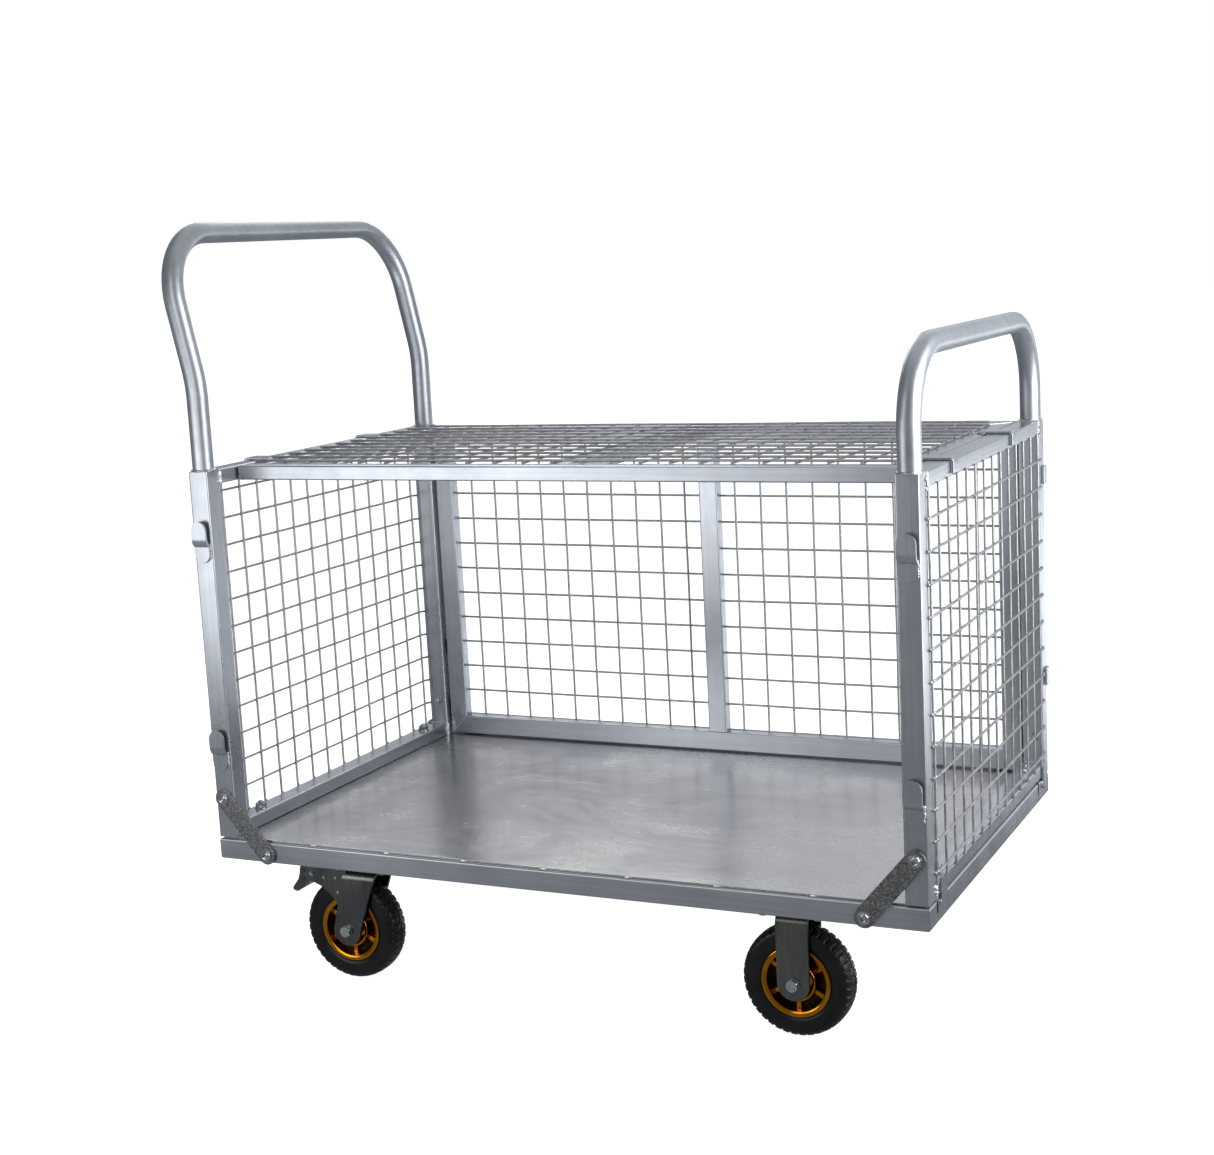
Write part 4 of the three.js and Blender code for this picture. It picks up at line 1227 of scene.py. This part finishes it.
def build_floor():
    """A pale floor that the metal doesn't mirror, so that reflections come from the studio alone."""
    mesh = bpy.data.meshes.new("floor")
    reach = 30
    corners = [(-reach, -reach, 0), (reach, -reach, 0), (reach, reach, 0), (-reach, reach, 0)]
    mesh.from_pydata(corners, [], [(0, 1, 2, 3)])
    floor = shown("floor", mesh)
    floor.location.z = CAD_BOX[0].z
    material = bpy.data.materials.new("pale_floor")
    material.use_nodes = True
    shader = material.node_tree.nodes["Principled BSDF"]
    shader.inputs["Roughness"].default_value = 1.0
    shader.inputs["Specular IOR Level"].default_value = 0.0
    shader.inputs["Base Color"].default_value = (0.8, 0.8, 0.8, 1)
    shader.inputs["Emission Color"].default_value = (1, 1, 1, 1)
    shader.inputs["Emission Strength"].default_value = 0.9
    mesh.materials.append(material)
    floor.visible_glossy = False
    floor.visible_diffuse = False
    floor.visible_shadow = False


CAMERA = {
    "place": (1.3693, -2.8895, 1.1626), "azimuth": 25.712, "elevation": 9.656, "roll": -2.975,
    "lens": 58.19, "sensor": 36,
}

# Each patch: direction, half angle of its full part, half angle where it ends, strength, and pairs of
# angles above the horizon between which it fades in, or out where the second is the lower. A patch with
# a negative strength darkens.
STUDIO_BASE = 0.21
STUDIO_PATCHES = [
    ((0.25, 1.0, 0.05), 22, 38, 1.9, [(-15.4, -13.4), (-6, -9)]),
    ((0.25, 1.0, 0.20), 22, 40, 0.42, [(-9, -6)]),
    ((-0.4, 0.85, 0.55), 15, 28, 0.66, [(12, 18)]),
    ((-0.446, -0.84, -0.31), 3, 11, 0.2, []),
    ((0.0, 0.2, 1.0), 20, 65, 0.14, []),
    ((0.0, 0.0, -1.0), 45, 80, 0.12, []),
    ((0.43, 0.888, -0.36), 5, 14, -0.13, []),
]


def build_world():
    """White to the camera; to the metal, a dim studio with a bright backdrop and soft boxes."""
    world = bpy.data.worlds.new("studio")
    bpy.context.scene.world = world
    world.use_nodes = True
    n = Nodes(world.node_tree)
    world.node_tree.nodes.clear()
    direction = n.add("TexCoord").outputs["Generated"]
    height = n.add("SeparateXYZ", {"Vector": direction}).outputs["Z"]

    def fade(inputs):
        return n.add("MapRange", inputs, interpolation_type="SMOOTHSTEP").outputs["Result"]

    def above(low, full):
        """Fades the sky in from one angle above the horizon to another, or out if they fall."""
        bottom, top = (math.sin(math.radians(angle)) for angle in sorted((low, full)))
        rising = low < full
        ends = {"To Min": 0.0 if rising else 1.0, "To Max": 1.0 if rising else 0.0}
        return fade({"Value": height, "From Min": bottom, "From Max": top, **ends})

    def lobe(towards, inner, outer, strength):
        """A soft patch of sky: full within one angle of a direction, and gone beyond another."""
        dot = n.add("VectorMath", {0: direction, 1: Vector(towards).normalized()}, operation="DOT_PRODUCT")
        start, full = (math.cos(math.radians(angle)) for angle in (outer, inner))
        return fade({"Value": dot.outputs["Value"], "From Min": start, "From Max": full, "To Max": strength})

    total = None
    for *patch, cuts in STUDIO_PATCHES:
        value = lobe(*patch)
        for cut in cuts:
            value = n.combined(value, above(*cut), "MULTIPLY")
        total = value if total is None else n.combined(total, value)
    strength = n.combined(total, STUDIO_BASE)
    studio = n.add("Background", {"Color": (0.93, 0.965, 1.0), "Strength": strength})
    white = n.add("Background", {"Color": (1, 1, 1)})
    shaders = {"Fac": n.add("LightPath").outputs["Is Camera Ray"], 1: studio.outputs[0], 2: white.outputs[0]}
    n.add("OutputWorld", {"Surface": n.add("MixShader", shaders).outputs[0]})


def build_lights():
    area_light("left_softbox", (-0.98, -1.45, 0.63), (-0.98, 0.0, 0.63), 0.96, 0.70, 6.0)
    area_light("left_fill", (-0.2, -1.45, 1.3), (-0.2, 0.0, 1.3), 0.6, 1.7, 5)
    area_light("right_softbox", (1.75, -0.15, 1.1), (0.5, 0.0, 0.8), 1.5, 1.8, 44)
    area_light("rear_softbox", (-1.3, 2.0, 1.95), (-0.6, 0.0, 1.15), 1.3, 1.0, 11)
    area_light("overhead_softbox", (0.0, 0.2, 2.9), (0.0, 0.0, 0.5), 2.4, 1.8, 4)


def build_camera():
    """Stands at the front right, just above the lid, turned a little about its own line of sight."""
    azimuth, elevation, roll = (math.radians(CAMERA[key]) for key in ("azimuth", "elevation", "roll"))
    ahead = math.cos(elevation)
    forward = Vector((-math.sin(azimuth) * ahead, math.cos(azimuth) * ahead, -math.sin(elevation)))
    level = Vector((math.cos(azimuth), math.sin(azimuth), 0))
    upright = level.cross(forward)
    right = level * math.cos(roll) + upright * math.sin(roll)
    up = upright * math.cos(roll) - level * math.sin(roll)
    turn = Matrix((right, up, -forward)).transposed().to_4x4()
    lens = bpy.data.cameras.new("camera")
    lens.sensor_fit = "HORIZONTAL"
    lens.sensor_width = CAMERA["sensor"]
    lens.lens = CAMERA["lens"]
    lens.clip_end = 100
    camera = shown("camera", lens)
    camera.matrix_world = Matrix.Translation(CAMERA["place"]) @ turn
    bpy.context.scene.camera = camera


build_camera()
build_trolley()
build_floor()
build_world()
build_lights()
bpy.context.scene.view_settings.view_transform = "Standard"
